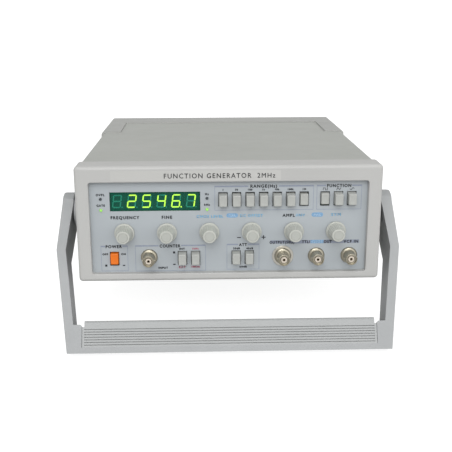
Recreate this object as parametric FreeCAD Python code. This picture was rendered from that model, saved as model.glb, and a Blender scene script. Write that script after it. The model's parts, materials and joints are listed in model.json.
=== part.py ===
"""Bench function generator: a moulded case with a recessed control panel, keys, knobs and
coaxial jacks, standing tilted on its carry handle. The case is drawn level, with X across,
Y to the back and Z up from the lower front edge, and is stood on its handle at the end."""
import FreeCAD, Part
import math
import os

V = FreeCAD.Vector
ORIGIN = V(0, 0, 0)
AXIS_X = V(1, 0, 0)
AXIS_Y = V(0, 1, 0)

# Case
BODY_WIDTH = 250.0
BODY_HEIGHT = 96.5
BODY_DEPTH = 288.5
BEZEL_WALL = 3.0
CORNER_RADIUS = 3.2
CAVITY_RADIUS = 0.8
EDGE_RADIUS = 2.9
OPENING_RADIUS = 2.0
LIP_RADIUS = 0.8
FRONT_BEZEL_DEPTH = 22.5
FRONT_BEZEL_DROP = 0.8
REAR_BEZEL_DEPTH = 38.5
SHEET = 1.2
COVER_SIDE_STEP = 1.6
COVER_TOP_STEP = 1.2
COVER_BEND = 3.5
COVER_SPLIT_HEIGHT = 14.0
COVER_SPLIT_GAP = 0.2
WING_WIDTH = 19.5
WING_LENGTH = 67.0
REAR_FLANGE_DEPTH = 12.5
REAR_FLANGE_WIDTH = 10.0
VENT_LENGTH = 30.0
VENT_WIDTH = 3.0
BASE_VENT_ROWS = (95.0, 150.0)
BASE_VENT_PITCH = 12.0
VENT_COUNT = 9
REAR_VENT_FIRST_X = 15.0
REAR_VENT_PITCH = 10.0
REAR_VENT_BOTTOM = 30.0
REAR_VENT_TOP = 70.0
REAR_PANEL_INSET = 0.5

# Control panel
OPENING_HALF_WIDTH = 113.85
OPENING_BOTTOM = 5.8
OPENING_TOP = 83.2
PANEL_FRONT = 5.0
PANEL_THICKNESS = 1.5
PANEL_HALF_WIDTH = 119.0
PANEL_BOTTOM = 3.6
PANEL_TOP = 90.0
PANEL_BACK = PANEL_FRONT + PANEL_THICKNESS
BOARD_FRONT = 28.0
BOARD_THICKNESS = 1.6
CONTROL_BOARD = (-112.0, 112.0, 6.0, 88.0)

# Display
WINDOW_CENTRE = (-60.6, 66.3)
WINDOW_SIZE = (73.9, 16.0)
WINDOW_GAP = 0.15
WINDOW_FLANGE = 2.0
DIGIT_COUNT = 6
DIGIT_PITCH = 12.1
DIGIT_SIZE = (12.0, 8.0, 17.5)
LED_X = (-104.9, -18.1)
LED_Z = (68.6, 59.2)
LED_RADIUS = 1.15
LED_GAP = 0.1
LED_DOME_REACH = 0.2
DISPLAY_BOARD_FRONT = 16.0
DISPLAY_BOARD = (-110.0, -12.0, 54.5, 79.5)
STANDOFF_RADIUS = 2.5
STANDOFF_INSET = 4.0

# Keys
KEY_WIDTH = 7.0
KEY_HEIGHT = 10.7
KEY_FRONT_WIDTH = 6.3
KEY_FRONT_HEIGHT = 9.0
KEY_DEPTH = 9.0
KEY_OUT = 6.5
KEY_TRAVEL = 4.0
KEY_EDGE_RADIUS = 0.6
KEY_STEM = 4.0
KEY_STEM_LENGTH = 11.5
KEY_GAP_X = 0.35
KEY_HOLE_HEIGHT = 12.2
UPPER_HOLE_Z = 67.5
LOWER_HOLE_Z = 17.6
STEM_GAP = 0.2
RANGE_KEY_Z = 67.2
FUNCTION_KEY_Z = 67.7
LOWER_KEY_Z = 17.8
RANGE_FIRST_X = -5.0
RANGE_PITCH = 11.1
RANGE_NAMES = ("1", "10", "100", "1k", "10k", "100k", "1m")
RANGE_PRESSED = "1m"
FUNCTION_FIRST_X = 78.8
LOWER_PITCH = 11.0
FUNCTION_NAMES = ("square", "triangle", "sine")
FUNCTION_PRESSED = "square"
COUNTER_FIRST_X = -39.0
COUNTER_NAMES = ("source", "gate")
ATTENUATOR_FIRST_X = 5.8
ATTENUATOR_NAMES = ("20db", "40db")
POWER_X = -95.4
SWITCH_FRONT = 12.0
SWITCH_HALF_HEIGHT = 6.0
SWITCH_HALF_WIDTH = 5.5
STEM_WELL_DEPTH = 12.0

# Knobs and potentiometers
KNOB_NAMES = ("frequency", "fine", "level", "offset", "amplitude", "symmetry")
PULL_KNOBS = ("level", "offset", "amplitude", "symmetry")
KNOB_FIRST_X = -86.4
KNOB_PITCH = 35.0
KNOB_Z = 39.9
KNOB_LENGTH = 15.0
SHAFT_SETBACK = 4.0
SKIRT_RADIUS = 8.25
SKIRT_THICKNESS = 1.6
SKIRT_GAP = 0.6
KNOB_BASE_RADIUS = 7.2
KNOB_TIP_RADIUS = 5.5
FLUTE_COUNT = 22
FLUTE_DEPTH = 0.45
KNOB_CAP_RADIUS = 3.9
KNOB_CAP_THICKNESS = 0.8
SHAFT_RADIUS = 3.0
SHAFT_GAP = 0.05
SHAFT_BACK = 14.0
SHAFT_END_GAP = 0.3
NUT_SPACE_RADIUS = 6.3
NUT_SPACE_GAP = 0.4
BUSHING_RADIUS = 3.5
BUSHING_FRONT = 2.8
POT_RADIUS = 8.5
POT_DEPTH = 10.0
POT_TAIL = 6.0
PULL_TRAVEL = 4.0
CHAMBER_HALF = 5.0
CHAMBER_BACK = 26.5
CHAMBER_FRONT_ROOM = 2.5
YOKE_HALF = 4.7
YOKE_THICKNESS = 2.5
YOKE_END_GAP = 0.2
NUT_THICKNESS = 2.0
POT_NUT_RADIUS = 5.77
JACK_NUT_RADIUS = 8.1

# Coaxial jacks: counter input, main output, logic output, sweep input
JACK_X = (-66.6, 44.8, 72.9, 100.4)
JACK_Z = 18.6
OUTPUT_JACK = 1
JACK_FLANGE_RADIUS = 7.0
JACK_FLANGE_THICKNESS = 2.0
JACK_BARREL_RADIUS = 4.85
JACK_BORE_RADIUS = 4.05
JACK_REACH = 13.0
JACK_THREAD_RADIUS = 4.7
JACK_THREAD_BACK = 16.0
JACK_LUG_RADIUS = 1.0
JACK_LUG_REACH = 5.5
JACK_LUG_SETBACK = 4.0
INSULATOR_RADIUS = 2.9
INSULATOR_SETBACK = 1.0
CONTACT_RADIUS = 1.1
CONTACT_SETBACK = 1.4
CONTACT_BORE_RADIUS = 0.7
CONTACT_BORE_DEPTH = 5.0
WASHER_RADIUS = 8.9
WASHER_THICKNESS = 0.8

# Mains inlet on the back
INLET_CENTRE = (-85.0, 45.0)
INLET_FLANGE = (50.0, 30.0, 2.5)
INLET_CORNER_RADIUS = 4.0
INLET_HOLE_GAP = 0.2
INLET_BODY = (28.4, 20.8, 21.0)
INLET_RECESS = (24.6, 16.9, 17.0)
INLET_RECESS_CHAMFER = 4.0
PIN_SIZE = (2.0, 11.0, 4.0)
PIN_SPACING = 7.0
PIN_OFFSET = 2.0
INLET_SCREW_SPACING = 20.0

# Handle, drawn hanging straight down from its pivot: S runs down from the pivot
PIVOT_Y = 38.25
PIVOT_Z = 51.0
HANDLE_LEAN = 25.0
ARM_HEAD_RADIUS = 15.5
ARM_HALF_DEPTH = 18.0
ARM_FRONT = 13.6
ARM_TOP_WIDTH = 30.0
ARM_FOOT_WIDTH = 25.0
ARM_END_WIDTH = 16.2
ARM_OUTER_TOP = 139.9
ARM_INNER_TOP = 130.8
ARM_OUTER_BEND = 144.2
ARM_INNER_BEND = 136.6
ARM_BEND_S = 39.5
CREASE_RAKE = 0.26
ARM_OUTER_END = 134.6
ARM_THICKNESS = 7.6
ARM_CROWN_WIDTH = 3.5
ARM_CROWN_SLOPE = 0.6
ARM_CROWN_DROP = 3.0
BAR_S = 121.9
GRIP_TOP_S = 95.4
GRIP_NOTCH_S = 100.4
GRIP_NOTCH_WIDTH = 2.1
BLOCK_TOP_S = 101.9
BLOCK_CHAMFER = 1.2
BAND_HEIGHT = 5.0
CORE_TOP_S = 103.4
GRIP_EDGE_RADIUS = 2.5
SEAM_X = 122.2
GRIP_END_GAP = 0.35
BAR_BACK = ARM_FRONT - ARM_END_WIDTH
GRIP_BACK = -5.0
CORE_FRONT = 9.0
CORE_BACK = -1.0
GROOVE_COUNT = 7
GROOVE_PITCH = 2.12
GROOVE_FIRST_S = 102.4
GROOVE_WIDTH = 0.6
GROOVE_DEPTH = 1.0
GROOVE_END = 120.1
HUB_RADIUS = 13.0
HUB_FACE_X = 130.5
HUB_BOSS_RADIUS = 8.0
SPIGOT_RADIUS = 6.0
SPIGOT_GAP = 0.05
SPIGOT_END_X = 138.2
PIVOT_CAP_RADIUS = 9.0
PIVOT_CAP_THICKNESS = 1.4
CAP_WELL_RADIUS = 9.5
CAP_WELL_FLOOR_X = 138.0

# Feet
FOOT_RADIUS = 8.0
FOOT_TIP_RADIUS = 7.0
FOOT_HEIGHT = 6.0
FOOT_X = 95.0
FRONT_FOOT_Y = 44.0
REAR_FOOT_Y = 268.0

# Inside
RAIL_INNER_X = 119.2
RAIL_BOTTOM = 36.0
RAIL_TOP = 66.0
MAIN_BOARD = (-30.0, 110.0, 60.0, 240.0)
MAIN_BOARD_Z = 10.0
POST_RADIUS = 4.0
POST_INSET = 8.0
CORE_CENTRE = (-80.0, 216.0)
CORE_SIZE = (60.0, 22.0, 50.0)
CORE_LEG = 20.0
CORE_YOKE = 10.0
COIL_OVERHANG = 9.0
COIL_GAP = 0.3
SCREW_HEAD_RADIUS = 3.0
SCREW_HEAD_HEIGHT = 1.8
SCREW_RADIUS = 1.5

# Worked out from the dimensions above
HALF_WIDTH = BODY_WIDTH / 2
COVER_HALF_WIDTH = HALF_WIDTH - COVER_SIDE_STEP
COVER_TOP = BODY_HEIGHT - COVER_TOP_STEP
COVER_BACK = BODY_DEPTH - REAR_BEZEL_DEPTH
CAVITY_HALF_WIDTH = HALF_WIDTH - BEZEL_WALL
REAR_FLANGE_FRONT = BODY_DEPTH - REAR_FLANGE_DEPTH
REAR_PANEL_FRONT = REAR_FLANGE_FRONT + BEZEL_WALL
REAR_PANEL_BACK = REAR_PANEL_FRONT + PANEL_THICKNESS
INLET_FACE = REAR_PANEL_BACK + INLET_FLANGE[2]
SCREW_END = REAR_FLANGE_FRONT - 2
YOKE_BACK = CHAMBER_BACK - YOKE_END_GAP
CHAMBER_FRONT = CHAMBER_BACK - YOKE_THICKNESS - PULL_TRAVEL - CHAMBER_FRONT_ROOM
JACK_MOUTH = PANEL_FRONT - JACK_REACH
BAND_TOP_S = BAR_S - BAND_HEIGHT
WINDOW_BOX = (WINDOW_CENTRE[0] - WINDOW_SIZE[0] / 2, WINDOW_CENTRE[0] + WINDOW_SIZE[0] / 2,
              WINDOW_CENTRE[1] - WINDOW_SIZE[1] / 2, WINDOW_CENTRE[1] + WINDOW_SIZE[1] / 2)
SIDES = (-1, 1)


def block(x0, x1, y0, y1, z0, z1):
    return Part.makeBox(x1 - x0, y1 - y0, z1 - z0, V(x0, y0, z0))


def rod(radius, x, z, y0, y1):
    """A cylinder running front to back."""
    return Part.makeCylinder(radius, y1 - y0, V(x, y0, z), AXIS_Y)


def cross_rod(radius, y, z, x0, x1):
    """A cylinder running across the case."""
    return Part.makeCylinder(radius, x1 - x0, V(x0, y, z), AXIS_X)


def hexagon(radius, x, z, y0, y1):
    """A hexagonal prism running front to back."""
    corners = []
    for i in range(7):
        angle = i * math.pi / 3
        corners.append(V(x + radius * math.cos(angle), y0, z + radius * math.sin(angle)))
    return Part.Face(Part.makePolygon(corners)).extrude(V(0, y1 - y0, 0))


def edges_along(shape, direction):
    """The straight edges of a shape that run along a direction."""
    found = []
    for edge in shape.Edges:
        if edge.Curve.TypeId == "Part::GeomLine":
            along = abs(edge.tangentAt(edge.FirstParameter) * direction)
            if abs(along - 1) < 1e-6:
                found.append(edge)
    return found


def edges_at_y(shape, y, half_width):
    """The edges that lie in the plane at one Y and inside a half width."""
    found = []
    for edge in shape.Edges:
        box = edge.BoundBox
        if abs(box.YMin - y) < 1e-4 and abs(box.YMax - y) < 1e-4 and box.XMax <= half_width + 1e-4:
            found.append(edge)
    return found


def rounded_block(x0, x1, y0, y1, z0, z1, radius):
    """A block whose four front-to-back edges are rounded."""
    plain = block(x0, x1, y0, y1, z0, z1)
    return plain.makeFillet(radius, edges_along(plain, AXIS_Y))


def group(solids):
    return Part.makeCompound(solids)


def mirrored(shape):
    return shape.mirror(ORIGIN, AXIS_X)


def pair(shape):
    """A right-hand piece and its left-hand mirror image."""
    return group([shape, mirrored(shape)])


def key_table():
    """Name, across position, height and pressed state of every key."""
    keys = []
    for i, name in enumerate(RANGE_NAMES):
        keys.append(("range_" + name, RANGE_FIRST_X + i * RANGE_PITCH, RANGE_KEY_Z, name == RANGE_PRESSED))
    for i, name in enumerate(FUNCTION_NAMES):
        pressed = name == FUNCTION_PRESSED
        keys.append(("function_" + name, FUNCTION_FIRST_X + i * LOWER_PITCH, FUNCTION_KEY_Z, pressed))
    for i, name in enumerate(COUNTER_NAMES):
        keys.append(("counter_" + name, COUNTER_FIRST_X + i * LOWER_PITCH, LOWER_KEY_Z, False))
    for i, name in enumerate(ATTENUATOR_NAMES):
        keys.append(("attenuator_" + name, ATTENUATOR_FIRST_X + i * LOWER_PITCH, LOWER_KEY_Z, False))
    keys.append(("power", POWER_X, LOWER_KEY_Z, True))
    return keys


def knob_x(index):
    return KNOB_FIRST_X + index * KNOB_PITCH


# ---------------------------------------------------------------- case

def cover_envelope(y0, y1):
    """The outside of the sheet covers."""
    return rounded_block(-COVER_HALF_WIDTH, COVER_HALF_WIDTH, y0, y1, 0, COVER_TOP, COVER_BEND)


def front_bezel():
    outside = rounded_block(-HALF_WIDTH, HALF_WIDTH, 0, FRONT_BEZEL_DEPTH, -FRONT_BEZEL_DROP, BODY_HEIGHT,
                            CORNER_RADIUS)
    outside = outside.makeFillet(EDGE_RADIUS, edges_at_y(outside, 0, HALF_WIDTH))
    cavity = rounded_block(-CAVITY_HALF_WIDTH, CAVITY_HALF_WIDTH, PANEL_FRONT, FRONT_BEZEL_DEPTH + 1,
                           BEZEL_WALL, BODY_HEIGHT - BEZEL_WALL, CAVITY_RADIUS)
    opening = rounded_block(-OPENING_HALF_WIDTH, OPENING_HALF_WIDTH, -1, PANEL_FRONT + 1,
                            OPENING_BOTTOM, OPENING_TOP, OPENING_RADIUS)
    frame = outside.cut(cavity).cut(opening)
    lip = edges_at_y(frame, 0, OPENING_HALF_WIDTH)
    return frame.makeFillet(LIP_RADIUS, lip)


def rear_bezel():
    outside = rounded_block(-HALF_WIDTH, HALF_WIDTH, COVER_BACK, BODY_DEPTH, 0, BODY_HEIGHT, CORNER_RADIUS)
    outside = outside.makeFillet(EDGE_RADIUS, edges_at_y(outside, BODY_DEPTH, HALF_WIDTH))
    cavity = rounded_block(-CAVITY_HALF_WIDTH, CAVITY_HALF_WIDTH, COVER_BACK - 1, BODY_DEPTH + 1,
                           BEZEL_WALL, BODY_HEIGHT - BEZEL_WALL, CAVITY_RADIUS)
    flange = rounded_block(-CAVITY_HALF_WIDTH, CAVITY_HALF_WIDTH, REAR_FLANGE_FRONT, REAR_PANEL_FRONT,
                           BEZEL_WALL, BODY_HEIGHT - BEZEL_WALL, CAVITY_RADIUS)
    window = block(-CAVITY_HALF_WIDTH + REAR_FLANGE_WIDTH, CAVITY_HALF_WIDTH - REAR_FLANGE_WIDTH,
                   REAR_FLANGE_FRONT - 1, REAR_PANEL_FRONT + 1,
                   BEZEL_WALL + REAR_FLANGE_WIDTH, BODY_HEIGHT - BEZEL_WALL - REAR_FLANGE_WIDTH)
    ring = outside.cut(cavity).fuse(flange.cut(window))
    return ring.fuse(rear_wings()).removeSplitter().cut(screw_shanks())


def rear_wings():
    """Two pads that reach forward over the upper corners of the cover."""
    wing_front = COVER_BACK - WING_LENGTH
    shell = rounded_block(-HALF_WIDTH, HALF_WIDTH, wing_front, COVER_BACK, 0, BODY_HEIGHT, CORNER_RADIUS)
    shell = shell.cut(cover_envelope(wing_front - 1, COVER_BACK + 1))
    corner = block(HALF_WIDTH - WING_WIDTH, HALF_WIDTH + 1, wing_front, COVER_BACK,
                   BODY_HEIGHT - WING_WIDTH, BODY_HEIGHT + 1)
    return shell.common(pair(corner))


def cover_tube():
    """The full sheet wrap, before it is split into an upper and a lower cover."""
    outside = cover_envelope(FRONT_BEZEL_DEPTH, COVER_BACK)
    half_width = COVER_HALF_WIDTH - SHEET
    inside = rounded_block(-half_width, half_width, FRONT_BEZEL_DEPTH - 1, COVER_BACK + 1,
                           SHEET, COVER_TOP - SHEET, COVER_BEND - SHEET)
    return outside.cut(inside)


def top_cover():
    upper = block(-HALF_WIDTH, HALF_WIDTH, 0, BODY_DEPTH, COVER_SPLIT_HEIGHT, BODY_HEIGHT)
    cover = cover_tube().common(upper)
    hub_hole = cross_rod(HUB_BOSS_RADIUS + 0.1, PIVOT_Y, PIVOT_Z, -HALF_WIDTH, HALF_WIDTH)
    return cover.cut(hub_hole)


def vent_slots():
    """Two rows of slots across the base."""
    slots = []
    for row_y in BASE_VENT_ROWS:
        for i in range(VENT_COUNT):
            x = (i - (VENT_COUNT - 1) / 2) * BASE_VENT_PITCH - VENT_WIDTH / 2
            slots.append(block(x, x + VENT_WIDTH, row_y, row_y + VENT_LENGTH, -1, SHEET + 1))
    return group(slots)


def post_centres():
    x0, x1, y0, y1 = MAIN_BOARD
    return [(x, y) for x in (x0 + POST_INSET, x1 - POST_INSET)
            for y in (y0 + POST_INSET, y1 - POST_INSET)]


def bottom_cover():
    lower = block(-HALF_WIDTH, HALF_WIDTH, 0, BODY_DEPTH, 0, COVER_SPLIT_HEIGHT - COVER_SPLIT_GAP)
    cover = cover_tube().common(lower).cut(vent_slots())
    for x, y in post_centres():
        post = Part.makeCylinder(POST_RADIUS, MAIN_BOARD_Z - SHEET, V(x, y, SHEET))
        cover = cover.fuse(post)
    return cover


def rubber_feet():
    feet = []
    for side in SIDES:
        for y in (FRONT_FOOT_Y, REAR_FOOT_Y):
            top = V(side * FOOT_X, y, 0)
            feet.append(Part.makeCone(FOOT_RADIUS, FOOT_TIP_RADIUS, FOOT_HEIGHT, top, V(0, 0, -1)))
    return group(feet)


def rear_panel():
    half_width = CAVITY_HALF_WIDTH - REAR_PANEL_INSET
    y0 = REAR_PANEL_FRONT
    y1 = REAR_PANEL_BACK
    plate = block(-half_width, half_width, y0, y1,
                  BEZEL_WALL + REAR_PANEL_INSET, BODY_HEIGHT - BEZEL_WALL - REAR_PANEL_INSET)
    x, z = INLET_CENTRE
    half_x = INLET_BODY[0] / 2 + INLET_HOLE_GAP
    half_z = INLET_BODY[1] / 2 + INLET_HOLE_GAP
    holes = [block(x - half_x, x + half_x, y0 - 1, y1 + 1, z - half_z, z + half_z)]
    for i in range(VENT_COUNT):
        slot_x = REAR_VENT_FIRST_X + i * REAR_VENT_PITCH
        holes.append(block(slot_x, slot_x + VENT_WIDTH, y0 - 1, y1 + 1, REAR_VENT_BOTTOM, REAR_VENT_TOP))
    return plate.cut(group(holes)).cut(screw_shanks())


def rear_screw_places():
    """Where the rear panel and the inlet are screwed down, with each head's seat."""
    places = []
    edge = REAR_FLANGE_WIDTH / 2
    inlet_x, inlet_z = INLET_CENTRE
    for side in SIDES:
        for z in (BEZEL_WALL + edge, BODY_HEIGHT - BEZEL_WALL - edge):
            places.append((side * (CAVITY_HALF_WIDTH - edge), z, REAR_PANEL_BACK))
        places.append((inlet_x + side * INLET_SCREW_SPACING, inlet_z, INLET_FACE))
    return places


def screw_shanks():
    return group([rod(SCREW_RADIUS, x, z, SCREW_END, seat) for x, z, seat in rear_screw_places()])


def case_screws():
    screws = []
    for x, z, seat in rear_screw_places():
        head = rod(SCREW_HEAD_RADIUS, x, z, seat, seat + SCREW_HEAD_HEIGHT)
        screws.append(head.fuse(rod(SCREW_RADIUS, x, z, SCREW_END, seat)))
    return group(screws)


# ---------------------------------------------------------------- control panel

def front_panel():
    plate = block(-PANEL_HALF_WIDTH, PANEL_HALF_WIDTH, PANEL_FRONT, PANEL_BACK, PANEL_BOTTOM, PANEL_TOP)
    y0 = PANEL_FRONT - 1
    y1 = PANEL_BACK + 1
    left, right, low, high = WINDOW_BOX
    holes = [block(left, right, y0, y1, low, high)]
    half_x = KEY_WIDTH / 2 + KEY_GAP_X
    half_z = KEY_HOLE_HEIGHT / 2
    for name, x, z, pressed in key_table():
        hole_z = UPPER_HOLE_Z if z > KNOB_Z else LOWER_HOLE_Z
        holes.append(block(x - half_x, x + half_x, y0, y1, hole_z - half_z, hole_z + half_z))
    for i in range(len(KNOB_NAMES)):
        holes.append(rod(BUSHING_RADIUS, knob_x(i), KNOB_Z, y0, y1))
    for x in JACK_X:
        holes.append(rod(JACK_THREAD_RADIUS, x, JACK_Z, y0, y1))
    for x in LED_X:
        for z in LED_Z:
            holes.append(rod(LED_RADIUS + LED_GAP, x, z, y0, y1))
    return plate.cut(group(holes))


def display_window():
    x0, x1, z0, z1 = WINDOW_BOX
    pane = block(x0 + WINDOW_GAP, x1 - WINDOW_GAP, PANEL_FRONT, PANEL_BACK, z0 + WINDOW_GAP, z1 - WINDOW_GAP)
    flange = block(x0 - WINDOW_FLANGE, x1 + WINDOW_FLANGE, PANEL_BACK, PANEL_BACK + 1,
                   z0 - WINDOW_FLANGE, z1 + WINDOW_FLANGE)
    return pane.fuse(flange)


def display_digits():
    width, depth, height = DIGIT_SIZE
    first_x = WINDOW_CENTRE[0] - DIGIT_PITCH * (DIGIT_COUNT - 1) / 2
    digits = []
    for i in range(DIGIT_COUNT):
        x = first_x + i * DIGIT_PITCH
        digits.append(block(x - width / 2, x + width / 2, DISPLAY_BOARD_FRONT - depth, DISPLAY_BOARD_FRONT,
                            WINDOW_CENTRE[1] - height / 2, WINDOW_CENTRE[1] + height / 2))
    return group(digits)


def indicator_leds():
    leds = []
    for x in LED_X:
        for z in LED_Z:
            stem = rod(LED_RADIUS, x, z, PANEL_FRONT - LED_DOME_REACH, DISPLAY_BOARD_FRONT)
            dome = Part.makeSphere(LED_RADIUS, V(x, PANEL_FRONT - LED_DOME_REACH, z))
            leds.append(stem.fuse(dome).removeSplitter())
    return group(leds)


def display_board():
    x0, x1, z0, z1 = DISPLAY_BOARD
    back = DISPLAY_BOARD_FRONT + BOARD_THICKNESS
    board = block(x0, x1, DISPLAY_BOARD_FRONT, back, z0, z1)
    for x in (x0 + STANDOFF_INSET, x1 - STANDOFF_INSET):
        for z in (z0 + STANDOFF_INSET, z1 - STANDOFF_INSET):
            board = board.fuse(rod(STANDOFF_RADIUS, x, z, back, BOARD_FRONT))
    return board


def control_board():
    x0, x1, z0, z1 = CONTROL_BOARD
    return block(x0, x1, BOARD_FRONT, BOARD_FRONT + BOARD_THICKNESS, z0, z1)


def key_section(x, z, y, width, height):
    """A closed rectangle across a keycap."""
    left = x - width / 2
    right = x + width / 2
    low = z - height / 2
    high = z + height / 2
    return Part.makePolygon([V(left, y, low), V(right, y, low), V(right, y, high), V(left, y, high),
                             V(left, y, low)])


def key(x, z, pressed):
    """A keycap that narrows to its face, on its stem, standing out of the panel or latched in."""
    front = PANEL_FRONT - KEY_OUT + (KEY_TRAVEL if pressed else 0)
    back = front + KEY_DEPTH
    root = front + KEY_OUT
    taper = Part.makeLoft([key_section(x, z, front, KEY_FRONT_WIDTH, KEY_FRONT_HEIGHT),
                           key_section(x, z, root, KEY_WIDTH, KEY_HEIGHT)], True, True)
    cap = taper.fuse(block(x - KEY_WIDTH / 2, x + KEY_WIDTH / 2, root, back,
                           z - KEY_HEIGHT / 2, z + KEY_HEIGHT / 2))
    cap = cap.makeFillet(KEY_EDGE_RADIUS, edges_at_y(cap, front, HALF_WIDTH))
    stem = block(x - KEY_STEM / 2, x + KEY_STEM / 2, back, back + KEY_STEM_LENGTH,
                 z - KEY_STEM / 2, z + KEY_STEM / 2)
    return group([cap, stem])


def switch_block(places):
    """A row of ganged push switches with a well for each key's stem."""
    xs = [x for x, z in places]
    z = places[0][1]
    body = block(min(xs) - SWITCH_HALF_WIDTH, max(xs) + SWITCH_HALF_WIDTH, SWITCH_FRONT, BOARD_FRONT,
                 z - SWITCH_HALF_HEIGHT, z + SWITCH_HALF_HEIGHT)
    half = KEY_STEM / 2 + STEM_GAP
    floor = SWITCH_FRONT + STEM_WELL_DEPTH
    for x in xs:
        body = body.cut(block(x - half, x + half, SWITCH_FRONT - 1, floor, z - half, z + half))
    return body


def switch_bank(prefix):
    return switch_block([(x, z) for name, x, z, pressed in key_table() if name.startswith(prefix)])


# ---------------------------------------------------------------- knobs

def fluted_body(x, front, back):
    """A tapering knob body with flutes all round."""
    rings = []
    for y, radius in ((front, KNOB_TIP_RADIUS), (back, KNOB_BASE_RADIUS)):
        corners = []
        for i in range(2 * FLUTE_COUNT + 1):
            angle = math.pi * i / FLUTE_COUNT
            reach = radius - FLUTE_DEPTH * (i % 2)
            corners.append(V(x + reach * math.cos(angle), y, KNOB_Z + reach * math.sin(angle)))
        rings.append(Part.makePolygon(corners))
    return Part.makeLoft(rings, True, True)


def knob(index):
    """A knob with its skirt, its smooth cap disc and the shaft that it turns."""
    x = knob_x(index)
    front = PANEL_FRONT - KNOB_LENGTH
    skirt_back = PANEL_FRONT - SKIRT_GAP
    skirt_front = skirt_back - SKIRT_THICKNESS
    shaft_front = front + SHAFT_SETBACK
    nut_space = rod(NUT_SPACE_RADIUS, x, KNOB_Z, skirt_front - NUT_SPACE_GAP, skirt_back + 1)
    body = fluted_body(x, front, skirt_front).fuse(rod(SKIRT_RADIUS, x, KNOB_Z, skirt_front, skirt_back))
    body = body.cut(nut_space).cut(rod(SHAFT_RADIUS, x, KNOB_Z, shaft_front, skirt_back))
    cap = rod(KNOB_CAP_RADIUS, x, KNOB_Z, front, front + KNOB_CAP_THICKNESS)
    shaft_back = YOKE_BACK if KNOB_NAMES[index] in PULL_KNOBS else SHAFT_BACK
    return group([body.cut(cap), cap, rod(SHAFT_RADIUS, x, KNOB_Z, shaft_front, shaft_back)])


def potentiometer(index):
    """A panel potentiometer; those with a pull switch have a chamber for the switch yoke."""
    x = knob_x(index)
    body = rod(POT_RADIUS, x, KNOB_Z, PANEL_BACK, PANEL_BACK + POT_DEPTH)
    body = body.fuse(rod(BUSHING_RADIUS, x, KNOB_Z, BUSHING_FRONT, PANEL_BACK))
    body = body.fuse(block(x - POT_TAIL, x + POT_TAIL, PANEL_BACK + POT_DEPTH, BOARD_FRONT,
                           KNOB_Z - POT_TAIL, KNOB_Z + POT_TAIL))
    if KNOB_NAMES[index] in PULL_KNOBS:
        body = body.cut(block(x - CHAMBER_HALF, x + CHAMBER_HALF, CHAMBER_FRONT, CHAMBER_BACK,
                              KNOB_Z - CHAMBER_HALF, KNOB_Z + CHAMBER_HALF))
        bore_back = CHAMBER_FRONT + 1
    else:
        bore_back = SHAFT_BACK + SHAFT_END_GAP
    return body.cut(rod(SHAFT_RADIUS + SHAFT_GAP, x, KNOB_Z, BUSHING_FRONT - 1, bore_back))


def pull_yoke(index):
    """The plate that a pulled shaft carries with it inside its switch chamber."""
    x = knob_x(index)
    front = YOKE_BACK - YOKE_THICKNESS
    plate = block(x - YOKE_HALF, x + YOKE_HALF, front, YOKE_BACK, KNOB_Z - YOKE_HALF, KNOB_Z + YOKE_HALF)
    return plate.cut(rod(SHAFT_RADIUS + SHAFT_GAP, x, KNOB_Z, front - 1, YOKE_BACK + 1))


# ---------------------------------------------------------------- coaxial jacks

def jack_seat(index):
    """The front of what a jack's flange rests on."""
    return PANEL_FRONT - (WASHER_THICKNESS if index == OUTPUT_JACK else 0)


def jack_shell(index):
    x = JACK_X[index]
    seat = jack_seat(index)
    flange_front = seat - JACK_FLANGE_THICKNESS
    lug_y = JACK_MOUTH + JACK_LUG_SETBACK
    shell = rod(JACK_FLANGE_RADIUS, x, JACK_Z, flange_front, seat)
    shell = shell.fuse(rod(JACK_BARREL_RADIUS, x, JACK_Z, JACK_MOUTH, flange_front))
    shell = shell.fuse(cross_rod(JACK_LUG_RADIUS, lug_y, JACK_Z, x - JACK_LUG_REACH, x + JACK_LUG_REACH))
    shell = shell.fuse(rod(JACK_THREAD_RADIUS, x, JACK_Z, seat, JACK_THREAD_BACK))
    shell = shell.cut(rod(JACK_BORE_RADIUS, x, JACK_Z, JACK_MOUTH - 1, flange_front))
    return shell.cut(rod(INSULATOR_RADIUS, x, JACK_Z, JACK_MOUTH, JACK_THREAD_BACK + 1))


def jack_insulator(index):
    x = JACK_X[index]
    front = JACK_MOUTH + INSULATOR_SETBACK
    body = rod(INSULATOR_RADIUS, x, JACK_Z, front, JACK_THREAD_BACK)
    return body.cut(rod(CONTACT_RADIUS, x, JACK_Z, front - 1, JACK_THREAD_BACK + 1))


def jack_contact(index):
    x = JACK_X[index]
    front = JACK_MOUTH + CONTACT_SETBACK
    body = rod(CONTACT_RADIUS, x, JACK_Z, front, BOARD_FRONT)
    return body.cut(rod(CONTACT_BORE_RADIUS, x, JACK_Z, front - 1, front + CONTACT_BORE_DEPTH))


def jack_group(piece):
    return group([piece(i) for i in range(len(JACK_X))])


def output_washer():
    x = JACK_X[OUTPUT_JACK]
    ring = rod(WASHER_RADIUS, x, JACK_Z, PANEL_FRONT - WASHER_THICKNESS, PANEL_FRONT)
    return ring.cut(rod(JACK_THREAD_RADIUS, x, JACK_Z, 0, PANEL_BACK))


def panel_nuts():
    """Hexagon nuts of the potentiometers, in front, and of the jacks, behind the panel."""
    nuts = []
    for i in range(len(KNOB_NAMES)):
        nut = hexagon(POT_NUT_RADIUS, knob_x(i), KNOB_Z, PANEL_FRONT - NUT_THICKNESS, PANEL_FRONT)
        nuts.append(nut.cut(rod(BUSHING_RADIUS, knob_x(i), KNOB_Z, 0, PANEL_BACK)))
    for x in JACK_X:
        nut = hexagon(JACK_NUT_RADIUS, x, JACK_Z, PANEL_BACK, PANEL_BACK + NUT_THICKNESS)
        nuts.append(nut.cut(rod(JACK_THREAD_RADIUS, x, JACK_Z, 0, JACK_THREAD_BACK)))
    return group(nuts)


# ---------------------------------------------------------------- mains inlet

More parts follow.
